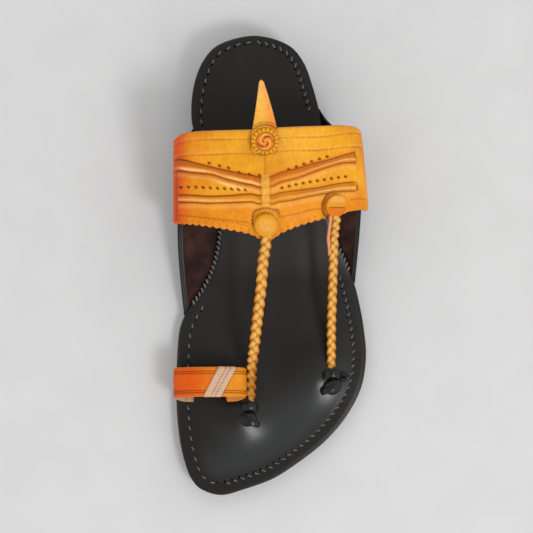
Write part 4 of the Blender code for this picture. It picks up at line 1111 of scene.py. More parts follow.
def wing_relief(across, share, width):
    """Each wing: a rounded step between two cut lines, with a raised ridge along its front line that carries a painted
    highlight.
    """
    height, groove, shade, rub_and_highlight, glow = (np.zeros_like(share) for _ in range(5))
    for name, (rear_line, front_line) in WINGS.items():
        rear, front = line_share(rear_line, across), line_share(front_line, across)
        inside = within(rear_line, across)
        lateral = name.endswith("lateral")
        from_rear, from_front = (share - rear) * width, (front - share) * width
        deep = np.maximum((front - rear) * width, 1e-5)
        strip = step_up(from_rear, -0.0002, 0.0008) * step_up(from_front, -0.0002, 0.0008) * inside
        height += WING_STEP * strip * (0.5 + 0.5 * step_up(from_rear / deep, 0.2, 0.8))
        lines = np.maximum(bump(from_rear + 0.0001, LINE_WIDTH), bump(from_front + 0.0001, LINE_WIDTH))
        if lateral:
            lines = np.maximum(lines, 0.55 * bump(from_rear - 0.0012, 0.0003))
            lines = np.maximum(lines, 0.55 * bump(from_front - 0.0012, 0.0003))
        groove = np.maximum(groove, (0.80 if lateral else 0.95) * lines * inside)
        shade = np.maximum(shade, STRIP_BROWN[name] * strip * (1 - step_up(from_rear / deep, 0.30, 0.65)))
        ridge = bump(from_front - 0.0018, 0.0007) * inside
        height += 0.0004 * ridge
        around = step_up(from_rear, -0.0035, 0.0) * step_up(from_front, -0.0035, 0.0) * inside
        glow = np.maximum(glow, around * (0.40 if name.startswith("upper") else 0.25))
        # Painted highlight: each ridge is paled as much as RIDGE_LIGHT gives, along the band.
        light = np.array(RIDGE_LIGHT[name])
        rub_and_highlight = np.maximum(rub_and_highlight, smooth(across, light[:, 0], light[:, 1]) * ridge)
        rub_and_highlight = np.maximum(rub_and_highlight, 0.20 * bump(from_front + 0.0024, 0.0012) * inside)
        if name == "upper_medial":
            # Painted shadow just beyond this wing's front line, then a painted highlight (the worn band) beyond that
            # shadow.
            shade = np.maximum(shade, 0.70 * bump(from_front + 0.0013, 0.0008) * inside * (1 - step_up(across, 0.80, 0.98)))
            worn = step_up(across, 0.20, 0.30) * (1 - step_up(across, 0.50, 0.68))
            rub_and_highlight = np.maximum(rub_and_highlight, 0.75 * bump(from_front + 0.0031, 0.0008) * worn)
        if lateral:
            right = (across - HOOK_AT) * BAND_HALF_SPAN
            curl = bump(np.hypot(right - 0.0004, from_front - deep * 0.30) - 0.0011, 0.00035) * step_up(-right, -0.0014, -0.0004)
            close = bump(right, LINE_WIDTH) * step_up(from_rear, -0.0003, 0.0002) * step_up(from_front, -0.0003, 0.0002)
            groove = np.maximum(groove, 0.8 * np.maximum(curl, close))
    return height, groove, shade, rub_and_highlight, glow


def edge_marks(across, share, width, over):
    """The long lines, the nicks and the stitched line beside the scalloped edge, and the frame at the end."""
    groove, rub_and_highlight = np.zeros_like(share), np.zeros_like(share)
    for k, line in enumerate(REAR_LINES):
        off = (share - line_share(line, across)) * width
        worn = 0.45 + 0.55 * step_up(np.sin(2 * np.pi * over / 0.0036) + np.sin(2 * np.pi * over / 0.031), -0.5, 0.6)
        groove = np.maximum(groove, (0.44 + 0.08 * k) * bump(off, LINE_WIDTH) * worn)
        rub_and_highlight = np.maximum(rub_and_highlight, 0.10 * bump(off + 0.0011, 0.0007))
    for line in FRONT_LINES:
        off = (share - line_share(line, across)) * width
        groove = np.maximum(groove, 0.42 * bump(off, LINE_WIDTH) * within(line, across))
    from_edge = (1 - share) * width
    nick = step_up(np.cos(2 * np.pi * over / SCALLOP_PITCH), 0.55, 0.95) * bump(from_edge - 0.0010, 0.0007)
    groove = np.maximum(groove, 0.36 * nick * step_up(across, -0.80, -0.70))
    stitch = step_up(np.sin(2 * np.pi * over / 0.0028), 0.0, 0.5) * bump(from_edge - 0.0033, 0.0003)
    groove = np.maximum(groove, 0.55 * stitch * step_up(across, 0.2, 0.3))
    end = bump((across - 0.968) * BAND_HALF_SPAN * 0.9, 0.0007) * step_up(share, 0.35, 0.45)
    return np.maximum(groove, 0.45 * end), rub_and_highlight


# %% Relief and colour marks of the whole band
def seat_marks(across, share, width):
    """Burnt rings pressed round the two buttons, with short cuts like rays round the centre one. Each ring is kept to
    the side away from the light, so it is partly painted shadow of its button.
    """
    off = (across - CROWN_ACROSS_SHARE) * BAND_HALF_SPAN
    down = (share - 1) * width + BUTTON_FROM_EDGE
    around = np.arctan2(down, off)
    radius = np.hypot(down, off)
    rays = 0.35 + 0.65 * step_up(np.sin(around * 26), -0.2, 0.3)
    # Painted shadow with the burnt ring: the ring is kept on the rear and medial side, away from the light.
    rear_side = step_up(-down + 0.35 * off, -0.005, 0.0)
    ring = 0.95 * bump(radius - 0.0090, 0.0007) * rays * rear_side
    off = (across - LATERAL_BUTTON_ACROSS_SHARE) * BAND_HALF_SPAN
    radius = np.hypot(off, (share - 1) * width + LATERAL_BUTTON_FROM_EDGE - LATERAL_BUTTON_SLIP)
    # Painted shadow with the burnt ring: only the medial side of this ring is kept, away from the light.
    burnt = 0.85 * bump(radius - 0.0079, 0.0008) * step_up(off, -0.003, 0.004)
    off = (across - CROWN_ACROSS_SHARE) * BAND_HALF_SPAN
    radius = np.hypot(off, share * width - ROSETTE_FROM_EDGE)
    seat = 0.90 * bump(radius - ROSETTE_RADIUS - 0.0005, 0.0008)
    return np.maximum(np.maximum(ring, burnt), seat)


def band_relief(across, share, over):
    """Height over the plain grain side, and the marks groove, shade, rub and burnish."""
    width = band_width(across)
    height, groove, shade, rub_and_highlight, glow = wing_relief(across, share, width)
    dots = dot_rows(across, share, width)
    groove = np.maximum(groove, dots)
    height -= 0.0003 * dots
    off = (across - CROWN_ACROSS_SHARE) * BAND_HALF_SPAN
    half = STRIP_HALF * BAND_HALF_SPAN
    along_strip = step_up(share, STRIP_SPAN[0] - 0.02, STRIP_SPAN[0]) * (1 - step_up(share, STRIP_SPAN[1], STRIP_SPAN[1] + 0.02))
    strip = step_up(half - np.abs(off), -0.0005, 0.0009) * along_strip
    height = height * (1 - 0.8 * strip) + STRIP_STEP * strip
    groove = groove * (1 - 0.70 * strip)
    shade = shade * (1 - strip)
    rub_and_highlight = np.maximum(rub_and_highlight * (1 - strip), 0.15 * strip)
    groove = np.maximum(groove, 0.28 * bump(np.abs(off) - half - 0.0003, 0.0004) * along_strip)
    spine = bump(off, 0.0004) * step_up(share, 0.20, 0.24) * (1 - step_up(share, 0.39, 0.41))
    groove = np.maximum(groove, 0.50 * spine)
    edge_groove, edge_rub = edge_marks(across, share, width, over)
    groove = np.maximum(groove, np.maximum(edge_groove, seat_marks(across, share, width)))
    rub_and_highlight = np.maximum(rub_and_highlight, edge_rub)
    height -= GROOVE_DEPTH * groove
    burnish_and_shade = 0.35 * step_up(across, 0.40, 0.85) + 0.65 * step_up(across, 0.80, 0.97)
    # Painted shade: the band's front half is darkened, to hold down the light its slope catches.
    burnish_and_shade = np.maximum(burnish_and_shade, 0.30 * step_up(share, 0.60, 0.80))
    burnish_and_shade = np.maximum(burnish_and_shade, glow * (1 - strip))
    burnish_and_shade = np.maximum(burnish_and_shade, 0.30 * step_up(-across, 0.90, 1.0))
    burnish_and_shade = np.maximum(burnish_and_shade, 0.30 * bump((share - 0.81) * width, 0.003) * step_up(across, 0.1, 0.5))
    return height, *(np.clip(v, 0, 1) for v in (groove, shade, rub_and_highlight, burnish_and_shade))


band_over = np.concatenate([np.full(TAB_ROWS, over_foot[0]), over_foot, np.full(TAB_ROWS, over_foot[-1])])[:, None]
relief, groove, shade, rub_and_highlight, burnish_and_shade = band_relief(band_a, band_s, band_over + 0 * band_s)
tab_fade = np.concatenate([np.linspace(0, 1, TAB_ROWS), np.ones(ROWS), np.linspace(1, 0, TAB_ROWS)])[:, None]
relief, rub_and_highlight = relief * tab_fade, rub_and_highlight * tab_fade
burnish_and_shade = np.maximum(burnish_and_shade, 1 - tab_fade)
outward = normals(band_middle)
outward *= np.sign(np.sum(outward * (band_middle - np.array([0, band_middle[..., 1].mean(), 0.03])), -1, keepdims=True))
grain = band_middle + outward * (BAND_THICK / 2 + relief)[..., None]
flesh = band_middle - outward * BAND_THICK / 2
band = shell(
    "tooled_instep_band", grain, flesh, BAND_LEATHER,
    {"groove": (groove, 0.0), "shade": (shade, 0.0), "rub_and_highlight": (rub_and_highlight, 0.0), "burnish_and_shade": (burnish_and_shade, 0.6), "flesh": (0.0, 1.0)},
)
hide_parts("instep_band")
print("band:", len(band.data.polygons), "faces")

# %% [markdown]
# ## Buttons, rosette and spike
# Round studs hide where the braids are sewn on. Each is a lathe-like surface in its own plane:
# rings from the middle of the top, over the dome and rim, to the middle of the back. The
# rosette's petals and spiral change the height with the angle.

# %% Studs
def axes_for(outward):
    """Two directions square to outward; the second points roughly forward."""
    sideways = unit(np.cross((0.0, 1.0, 0.0), outward))
    return sideways, np.cross(outward, sideways)


def stud(name, centre, outward, radius, thick, face, material, count=72):
    """Rings of radius r and height h: the face's own rows, a half-round rim, and a flat back."""
    angle = np.linspace(0, 2 * np.pi, count, endpoint=False)[None, :]
    r = np.linspace(0, 1, 30)[:, None]
    height, edge, marks = face(r, angle)
    rim = np.linspace(0, np.pi, 8)[1:-1, None]
    flat = np.linspace(0.96, 0, 5)[:, None]
    last = height[-1:]
    half = last / 2
    bulge = half * 0.6
    spots = [r * (edge * radius - bulge)]
    levels = [height]
    spots.append(edge * radius - bulge + bulge * np.sin(rim))
    levels.append(half + half * np.cos(rim))
    spots.append(flat * (edge * radius - bulge))
    levels.append(flat * 0)
    spot = np.concatenate([np.broadcast_to(s, (s.shape[0], count)) for s in spots])
    level = np.concatenate([np.broadcast_to(v, (v.shape[0], count)) for v in levels])
    sideways, forward = axes_for(outward)
    points = centre + outward * level[..., None]
    points = points + sideways * (spot * np.cos(angle))[..., None] + forward * (spot * np.sin(angle))[..., None]
    flat_marks = {}
    for mark, values in marks.items():
        values = np.broadcast_to(values, (30, count))
        rest = np.broadcast_to(values[-1:], (len(spot) - 30, count))
        flat_marks[mark] = np.concatenate([values, rest])
    return make_piece(name, points.reshape(-1, 3), grid_faces(len(spot), count, closed=True), material, flat_marks)


def plain_face(r, angle):
    """Flat dome, height falling as r^4, with a small slanted mark pressed near its middle."""
    right, down = r * np.cos(angle), r * np.sin(angle)
    mark = bump(down + 0.10 + 0.25 * right, 0.06) * bump(right - 0.02, 0.30)
    mark = np.maximum(mark, 0.8 * bump(down - 0.12 - 0.15 * right, 0.05) * bump(right - 0.12, 0.22))
    height = BUTTON_THICK * (1 - 0.22 * r**4) - 0.0002 * mark
    return height, 1.0 + 0 * angle, {"shade": np.maximum(0.85 * mark, 0.28), "rub_and_highlight": 0.25 * (1 - r), "groove": 0.10 * step_up(r, 0.9, 1.0)}


def folded_face(r, angle):
    """Dome with a fold across it; the half towards the toe lies lower and keeps more dye."""
    down = r * np.sin(angle)
    fold = bump(down - 0.06, 0.055) * (1 - step_up(r, 0.80, 0.92))
    height = BUTTON_THICK * (1 - 0.24 * r**3) - 0.0003 * fold - 0.00025 * step_up(down, 0.0, 0.12)
    burnish_and_shade = 0.55 * step_up(down, 0.0, 0.15)
    return height, 1.0 + 0 * angle, {"groove": 0.8 * fold, "burnish_and_shade": burnish_and_shade, "shade": 0.32 + 0 * down, "rub_and_highlight": 0.30 * step_up(-down, 0.3, 0.8)}


def rosette_face(r, angle):
    """Small scallops round the rim, a ring groove inside them, and a spiral with two arms in the middle, with a painted
    highlight beside the arms.
    """
    lobes = np.abs(np.cos(angle * 9))
    edge = 0.955 + 0.045 * lobes
    ring = bump(r - 0.74, 0.045)
    between = bump(lobes, 0.28) * step_up(r, 0.78, 0.86)
    turn = (2 * angle / (2 * np.pi) + 2.1 * r**0.8) % 1.0
    broken = 0.35 + 0.65 * step_up(np.sin(5 * angle + 9 * r), -0.7, 0.2)
    arms = bump(turn - 0.5, 0.15) * broken * step_up(r, 0.04, 0.16) * (1 - step_up(r, 0.60, 0.70))
    groove = np.clip(np.maximum(np.maximum(0.95 * arms, 0.85 * ring), 0.85 * between), 0, 1)
    height = ROSETTE_THICK * (1 - 0.30 * r**2) + 0.0004 * lobes * step_up(r, 0.78, 0.9) - 0.0004 * groove
    # Painted highlight: glow lightens a band beside each spiral arm.
    glow = 0.55 * bump(turn - 0.98, 0.20) * (1 - step_up(r, 0.62, 0.72))
    return height, edge, {"groove": groove, "burnish_and_shade": 0.55 * (1 - step_up(r, 0.62, 0.78)), "shade": 0.10 + 0 * groove, "rub_and_highlight": glow}


crown = np.array([CROWN_ACROSS_SHARE])
seat, outward = band_point(crown, ROSETTE_FROM_EDGE / band_width(crown), BAND_THICK / 2 + 2 * SEAM_GAP + SPIKE_THICK)
rosette = stud("rosette_stud", seat[0], outward[0], ROSETTE_RADIUS, ROSETTE_THICK, rosette_face, BAND_LEATHER, 144)
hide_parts("rosette")
for name, across, from_edge, face, size in (
    ("centre", CROWN_ACROSS_SHARE, BUTTON_FROM_EDGE, plain_face, 1.0),
    ("lateral", LATERAL_BUTTON_ACROSS_SHARE, LATERAL_BUTTON_FROM_EDGE - LATERAL_BUTTON_SLIP, folded_face, 0.93),
):
    across = np.array([across])
    lift = BAND_THICK / 2 + SEAM_GAP * 2 + WING_STEP
    seat, outward = band_point(across, 1 - from_edge / band_width(across), lift)
    button = stud(f"button_{name}_stud", seat[0], outward[0], BUTTON_RADIUS * size, BUTTON_THICK, face, BAND_LEATHER)
    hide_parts(f"button_{name}")
print("studs dressed")

# %% The spike behind the band
lift = BAND_THICK / 2 + SEAM_GAP + SPIKE_THICK / 2
shares = np.array([SPIKE_ROOT, ROSETTE_FROM_EDGE, 0.0008]) / band_width(crown)
root, _ = band_point(np.full(3, CROWN_ACROSS_SHARE), shares, lift)
leave = unit(root[-1] - root[-2])
lift_angle = math.radians(SPIKE_LIFT_DEG)
goal = np.array((SPIKE_TURN_SHARE, -math.cos(lift_angle), math.sin(lift_angle)))
run = np.linspace(0, 1, 41)[1:, None]
blade = root[-1] + np.cumsum(unit(leave * (1 - run) + goal * run) * SPIKE_LENGTH / 40, axis=0)
path, distance = even(np.vstack([root, blade]), 70)
taper = np.clip((distance - 0.0104) / SPIKE_LENGTH, 0, 1)
half = SPIKE_WIDTH / 2 * (1 - 0.90 * taper)
half *= np.sqrt(np.clip(1 - np.clip((taper - 0.94) / 0.062, 0, 1) ** 2, 0.03, 1))
ahead = unit(np.gradient(path, axis=0))
wide = unit(np.array((1.0, 0, 0)) - ahead * ahead[:, :1])
thick = np.cross(ahead, wide)
thick *= np.sign(thick[:, 2:])
side_share = np.sin(np.linspace(-np.pi / 2, np.pi / 2, 25))
middle = path[:, None] + wide[:, None] * (half[:, None] * side_share[None, :])[..., None]
body = SPIKE_THICK / 2 * np.sqrt(1 - 0.55 * side_share**2)[None, :] * (1 - 0.35 * taper[:, None])
curl = 0.0006 * (side_share**2)[None, :] * (1 - taper[:, None])
top = middle + thick[:, None] * (body + curl)[..., None]
under = middle - thick[:, None] * (body - curl)[..., None]
from_rosette = np.hypot(distance[:, None] - (SPIKE_ROOT - ROSETTE_FROM_EDGE), half[:, None] * side_share[None, :])
arcs = np.maximum(0.9 * bump(from_rosette - 0.0098, 0.0005), 0.6 * bump(from_rosette - 0.0114, 0.0004))
spike = shell(
    "spike_tongue", top, under, BAND_LEATHER,
    {"groove": (arcs, 0.0), "burnish_and_shade": (0.5 * step_up(-side_share, -0.2, 0.8)[None, :], 0.5), "rub_and_highlight": (0.45 * taper[:, None], 0.0), "flesh": (0.0, 1.0)},
)
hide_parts("spike")

# %% [markdown]
# ## Two braids of three strands
# A flat three-strand plait is three copies of one path. Each strand swings from side to side as
# sin(t) and crosses over and under as sin(2t), a third of a turn after the one before. We carry
# a flattened oval along that path, so each crossing is real, and the marks only add painted
# shade in the creases and a painted highlight on the strands' raised backs.

# %% The braids' middle lines
CROWN_RISE = CROWN_RISE_FRONT
BRAID_TAIL_LENGTH = 0.0085
BRAID_PERIOD = 0.0192
STRAND_SWING = {"centre": 0.00150, "lateral": 0.00120}
STRAND_CROSS = 0.00105
STRAND_HALF_WIDTH = {"centre": 0.00195, "lateral": 0.00175}
STRAND_HALF_THICK = 0.00095
BRAID_TURN_START_SHARE = 0.66
BRAID_TURN_LENGTH_SHARE = 0.16
BRAID_ROWS = {
    # x as a share of BALL_WIDTH, along as a share of SOLE_LENGTH, height as a share of the front crown's rise
    "centre": (
        (-0.0345, 0.4893, 0.941),
        (-0.0267, 0.5429, 0.863),
        (-0.0026, 0.6504, 0.588),
        (0.0103, 0.7243, 0.294),
        (0.0121, 0.7911, 0.075),
    ),
    "lateral": (
        (-0.4017, 0.4429, 0.726),
        (-0.4052, 0.4929, 0.618),
        (-0.4070, 0.5571, 0.471),
        (-0.4086, 0.6286, 0.294),
        (-0.4181, 0.7214, 0.024),
    ),
}


def braid_line(name, across, from_edge):
    """Middle line: on the band under the button, over the band's edge, then through the table's rows."""
    across = np.array([across])
    lift = BAND_THICK / 2 + SEAM_GAP + BRAID_TAIL_THICK / 2
    under, outward = band_point(across, 1 - from_edge / band_width(across), lift)
    edge, _ = band_point(across, np.array([1.0]), lift + (BRAID_THICK - BRAID_TAIL_THICK) / 2)
    x, along, height = (np.array(BRAID_ROWS[name]) * (BALL_WIDTH, SOLE_LENGTH, CROWN_RISE)).T
    points = np.vstack([under, edge, place(x, along, insole_top(along) + height)])
    ends = np.vstack([2 * points[0] - points[1], points, 2 * points[-1] - points[-2]])
    return catmull(ends, 30), outward[0]


def braid_frames(name, across, from_edge, turn_deg):
    """Even points of the line, distance along it, and its wide and thick directions."""
    line, outward = braid_line(name, across, from_edge)
    points, distance = even(line, 360)
    ahead = unit(np.gradient(points, axis=0))
    seat_across = unit(np.cross((0.0, 1.0, 0.0), outward))
    share = (distance / distance[-1])[:, None]
    wide = seat_across + (np.array((1.0, 0.0, 0.0)) - seat_across) * np.clip(share * 3 - 0.3, 0, 1)
    wide = unit(wide - ahead * np.sum(wide * ahead, axis=1, keepdims=True))
    thick = np.cross(ahead, wide)
    turned = np.clip((share - BRAID_TURN_START_SHARE) / BRAID_TURN_LENGTH_SHARE, 0, 1)
    twist = np.radians(turn_deg) * turned
    wide, thick = wide * np.cos(twist) + thick * np.sin(twist), thick * np.cos(twist) - wide * np.sin(twist)
    return points, distance, wide, thick


# %% Plait the strands
def strand(braid, number, frames):
    """One strand: line + wide * swing * sin(t) - thick * cross * sin(2t), t a third of a turn after the last."""
    points, distance, wide, thick = frames
    t = 2 * np.pi * (distance / BRAID_PERIOD + number / 3)
    from_end = np.minimum(distance, distance[-1] - distance)
    loose = (0.72 + 0.28 * step_up(from_end, 0.0, BRAID_TAIL_LENGTH))[:, None]
    swing, cross = np.sin(t)[:, None], -np.sin(2 * t)[:, None]
    path = points + wide * STRAND_SWING[braid] * swing * loose + thick * STRAND_CROSS * cross * loose
    ahead = unit(np.gradient(path, axis=0))
    face = unit(thick - ahead * np.sum(thick * ahead, axis=1, keepdims=True))
    side = np.cross(ahead, face)
    angle = np.linspace(0, 2 * np.pi, 20, endpoint=False)
    across = np.sign(np.cos(angle)) * np.abs(np.cos(angle)) ** 0.85 * STRAND_HALF_WIDTH[braid]
    up = np.sign(np.sin(angle)) * np.abs(np.sin(angle)) ** 0.9 * STRAND_HALF_THICK
    rings = carry(path, np.stack([across, up], -1)[None], side, face * loose)
    top = np.sin(angle)[None, :]
    # Painted shade darkens the strand's sides and the stretch that passes under another strand; a painted highlight
    # pales its raised back where it passes over.
    under = step_up(-cross * np.sign(top), -0.1, 0.75)
    painted_crease_shade = np.clip(np.abs(np.cos(angle))[None, :] ** 4 * 0.95 + 0.85 * under, 0, 1)
    worn = step_up(np.abs(top), 0.75, 1.0) * step_up(cross * np.sign(top), 0.35, 0.9)
    return loft(f"{braid}_braid_strand_{number + 1}", rings, STRANDS, {"painted_crease_shade": painted_crease_shade, "rub_and_highlight": worn})


for name, across, from_edge, turn in (
    ("centre", CROWN_ACROSS_SHARE, BUTTON_FROM_EDGE, 42.0),
    ("lateral", LATERAL_BUTTON_ACROSS_SHARE, LATERAL_BUTTON_FROM_EDGE, 0.0),
):
    frames = braid_frames(name, across, from_edge, turn)
    for k in range(3):
        piece = strand(name, k, frames)
        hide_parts(f"braid_{name}")
    print(name, "braid:", round(frames[1][-1] * 1000), "mm,", round(frames[1][-1] / BRAID_PERIOD, 1), "turns")

# %% The loose strip beside the lateral braid
SIDE_STRIP_SPAN = (0.004, 0.040)
SIDE_STRIP_OFF = 0.0036
SIDE_STRIP_HALF_WIDTH = 0.0012
SIDE_STRIP_HALF_THICK = 0.0006
points, distance, wide, thick = frames
keep = (distance > SIDE_STRIP_SPAN[0]) & (distance < SIDE_STRIP_SPAN[1])
along_strip = (distance[keep] - SIDE_STRIP_SPAN[0]) / (SIDE_STRIP_SPAN[1] - SIDE_STRIP_SPAN[0])
away = SIDE_STRIP_OFF * (1 - 0.35 * step_up(along_strip, 0.6, 1.0))[:, None]
line = points[keep] + wide[keep] * away - thick[keep] * SIDE_STRIP_HALF_THICK
angle = np.linspace(0, 2 * np.pi, 16, endpoint=False)
profile = np.stack([np.cos(angle) * SIDE_STRIP_HALF_WIDTH, np.sin(angle) * SIDE_STRIP_HALF_THICK], -1)[None]
rings = carry(line, profile, wide[keep], thick[keep])
worn = 0.8 * np.broadcast_to(np.abs(np.sin(angle))[None, :], rings.shape[:2])
# Partly painted shade: the groove mark darkens both side edges of the strip, like the shaded gap beside the braid.
burnt = np.broadcast_to(np.abs(np.cos(angle))[None, :] ** 6, rings.shape[:2])
strip = loft("lateral_braid_side_strip", rings, BAND_LEATHER, {"burnish_and_shade": 0.5 + 0 * worn, "pale": 0.75 * worn, "groove": 0.9 * burnt})
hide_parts("braid_lateral")

# %% [markdown]
# ## The toe ring
# One strap of orange leather bent to an oval, with its ends pushed down through the insole. It
# could be a plain torus, but a strap has a flesh side and two edges, so we bend a thin
# rectangle along the oval. A pale band slants over its top.

# %% Bend the toe ring
RING_ALONG_SHARE = 0.7518
RING_MEDIAL_SHARE = 0.4207
RING_LATERAL_SHARE = 0.0362
RING_WIDTH = 0.0165
RING_THICK = 0.0020
RING_RISE = 0.026
RING_LEAN = 0.0035
RING_OPENING_DEG = 37.0
RING_POWER = 0.9
RING_FOOT_TURN = 0.0022
RING_FOOT_SLIP = 0.0018
STRIPE_WIDTH = 0.0115
STRIPE_SLANT = 0.0085
STRIPE_START_SHARE = 0.42
STRIPE_STEP = 0.0005

centre_x = (RING_MEDIAL_SHARE + RING_LATERAL_SHARE) / 2 * BALL_WIDTH
half = ((RING_MEDIAL_SHARE - RING_LATERAL_SHARE) * BALL_WIDTH - RING_THICK) / 2
ring_along = RING_ALONG_SHARE * SOLE_LENGTH
floor_z = insole_top(ring_along)
low, high = floor_z + SEAM_GAP * 2 + RING_THICK / 2, floor_z + RING_RISE - RING_THICK / 2
start = math.radians(-90 + RING_OPENING_DEG)
angle = np.linspace(start, np.pi - start, 121)
x = centre_x + half * np.cos(angle)
z = (high + low) / 2 + (high - low) / 2 * np.sign(np.sin(angle)) * np.abs(np.sin(angle)) ** RING_POWER
foot = outsole_top(ring_along) + SEAM_GAP * 2
leg = np.array([(x[0] - RING_FOOT_TURN, foot), (x[0] - RING_FOOT_TURN, z[0] - 0.0018), (x[0] - 0.0013, z[0] - 0.0004)])
other = np.column_stack([2 * centre_x - leg[::-1, 0], leg[::-1, 1]])
flat_path = np.vstack([leg, np.column_stack([x, z]), other])
lean = RING_LEAN * np.clip(flat_path[:, 1] - floor_z - RING_THICK, 0, None) / RING_RISE
ring_line, ring_run = even(place(flat_path[:, 0], ring_along + RING_LEAN / 2 - lean, flat_path[:, 1]), 190)
ahead = unit(np.gradient(ring_line, axis=0))
forward = unit(np.array((0, 1.0, 0)) - ahead * ahead[:, 1:2])
outward = np.cross(forward, ahead)
ring_middle = ring_line.mean(0)
outward *= np.sign(np.sum(outward * (ring_line - ring_middle), axis=1, keepdims=True))
j = np.linspace(-0.5, 0.5, 56)[None, :]
run = ring_run[:, None] / ring_run[-1]
slipped = RING_FOOT_SLIP * (1 - step_up(run, 0.10, 0.22) * (1 - step_up(run, 0.78, 0.90)))
middle = ring_line[:, None] + forward[:, None] * (RING_WIDTH * j + slipped)[..., None]
first, last = (61 * 0.66 + 3) / 127, (121 * 5 / 6 + 3) / 127
stripe_at = (run - first) * ring_run[-1] - STRIPE_START_SHARE * (last - first) * ring_run[-1] + STRIPE_SLANT * (j + 0.5)
stripe = step_up(stripe_at, 0.0, 0.0006) * (1 - step_up(stripe_at, STRIPE_WIDTH - 0.0006, STRIPE_WIDTH))
dotted = 0.35 + 0.65 * step_up(np.sin(2 * np.pi * j * RING_WIDTH / 0.0017), -0.2, 0.4)
lines = sum(bump(stripe_at - STRIPE_WIDTH * place_on, 0.0004) for place_on in (0.0, 0.42, 0.64, 1.0)) * dotted
edge_off = np.minimum(j + 0.5, 0.5 - j) * RING_WIDTH
grooves = np.maximum(bump(edge_off - 0.0018, 0.00035), bump(edge_off - 0.0031, 0.00035)) * (1 - stripe)
groove = np.clip(grooves + lines, 0, 1)
height = STRIPE_STEP * stripe - 0.0003 * groove - 0.0004 * bump(edge_off, 0.0006)
grain = middle + outward[:, None] * (RING_THICK / 2 + height)[..., None]
flesh = middle - outward[:, None] * RING_THICK / 2
ring = shell(
    "toe_ring_strap", grain, flesh, BAND_LEATHER,
    {
        "groove": (0.80 * groove, 0.0), "pale": (stripe, 0.0), "shade": (0.22 * (1 - stripe), 0.0),
        "burnish_and_shade": (1 - 0.72 * step_up(run, 0.36, 0.62) + 0 * j, 0.4), "flesh": (0.0, 1.0 - 0.8 * step_up(run, 0.5, 0.9)), "rub_and_highlight": (0.0, 0.5 * (1 - step_up(run, 0.2, 0.5))),
    },
)
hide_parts("toe_ring")

# %% [markdown]
# ## Thongs and knots
# The braids end under short black thongs, whose ends are knotted on the insole. A sphere would
# do for a knot from far away. Here a flat thong is carried along a knot's own path, so that
# light breaks on its folds as it does on real leather.

# %% Thongs
THONG_WIDTH = 0.005
THONG_THICK = 0.0016
THONG_SPAN = 0.0125
THONG_RISE = 0.0072
THONG_POWER = 0.8
KNOT_LENGTH = 0.011
KNOT_WIDTH = 0.0125
KNOT_HEIGHT = 0.007
KNOT_TAB_LENGTH = 0.010
KNOT_TAB_WIDTH = 0.0055
KNOT_TAB_THICK = 0.0022


def strap_rings(path, wide, half_width, half_thick, count=20):
    """Rings of a rounded flat strap along a path; wide is its width's direction."""
    ahead = unit(np.gradient(path, axis=0))
    wide = unit(wide - ahead * np.sum(wide * ahead, axis=1, keepdims=True))
    thick = np.cross(ahead, wide)
    angle = np.linspace(0, 2 * np.pi, count, endpoint=False)
    across = np.sign(np.cos(angle)) * np.abs(np.cos(angle)) ** 0.6
    up = np.sign(np.sin(angle)) * np.abs(np.sin(angle)) ** 0.8
    profile = np.stack([across[None, :] * half_width, up[None, :] * half_thick], -1)
    return carry(path, profile, wide, thick)


for name, (x_share, along_share) in THONG_SPOTS.items():
    x, along = x_share * BALL_WIDTH, along_share * SOLE_LENGTH
    floor_z = float(insole_top(along))
    angle = np.linspace(0, np.pi, 49)
    half = THONG_SPAN / 2 - THONG_THICK / 2
    arch_x = x + half * np.cos(angle)
    arch_z = floor_z + (THONG_RISE - THONG_THICK / 2) * np.sin(angle) ** THONG_POWER
    foot = float(outsole_top(along)) + 2 * SEAM_GAP
    brow = along + 0.0008 * np.r_[1.0, 2 * np.cos(angle) ** 2 - 1, 1.0]
    path = place(np.r_[x + half, arch_x, x - half], brow, np.r_[foot, arch_z, foot])
    path, _ = even(path, 70)
    rings = strap_rings(path, np.array((0.0, 1.0, 0.0)), THONG_WIDTH / 2, THONG_THICK / 2)
    piece = loft(f"{name}_thong_arch", rings, THONG_LEATHER)
    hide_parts(f"thong_{name}")

# %% Knots
def finish_knot(piece, name):
    """A knot's piece stands for its node."""
    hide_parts(f"knot_{name}")


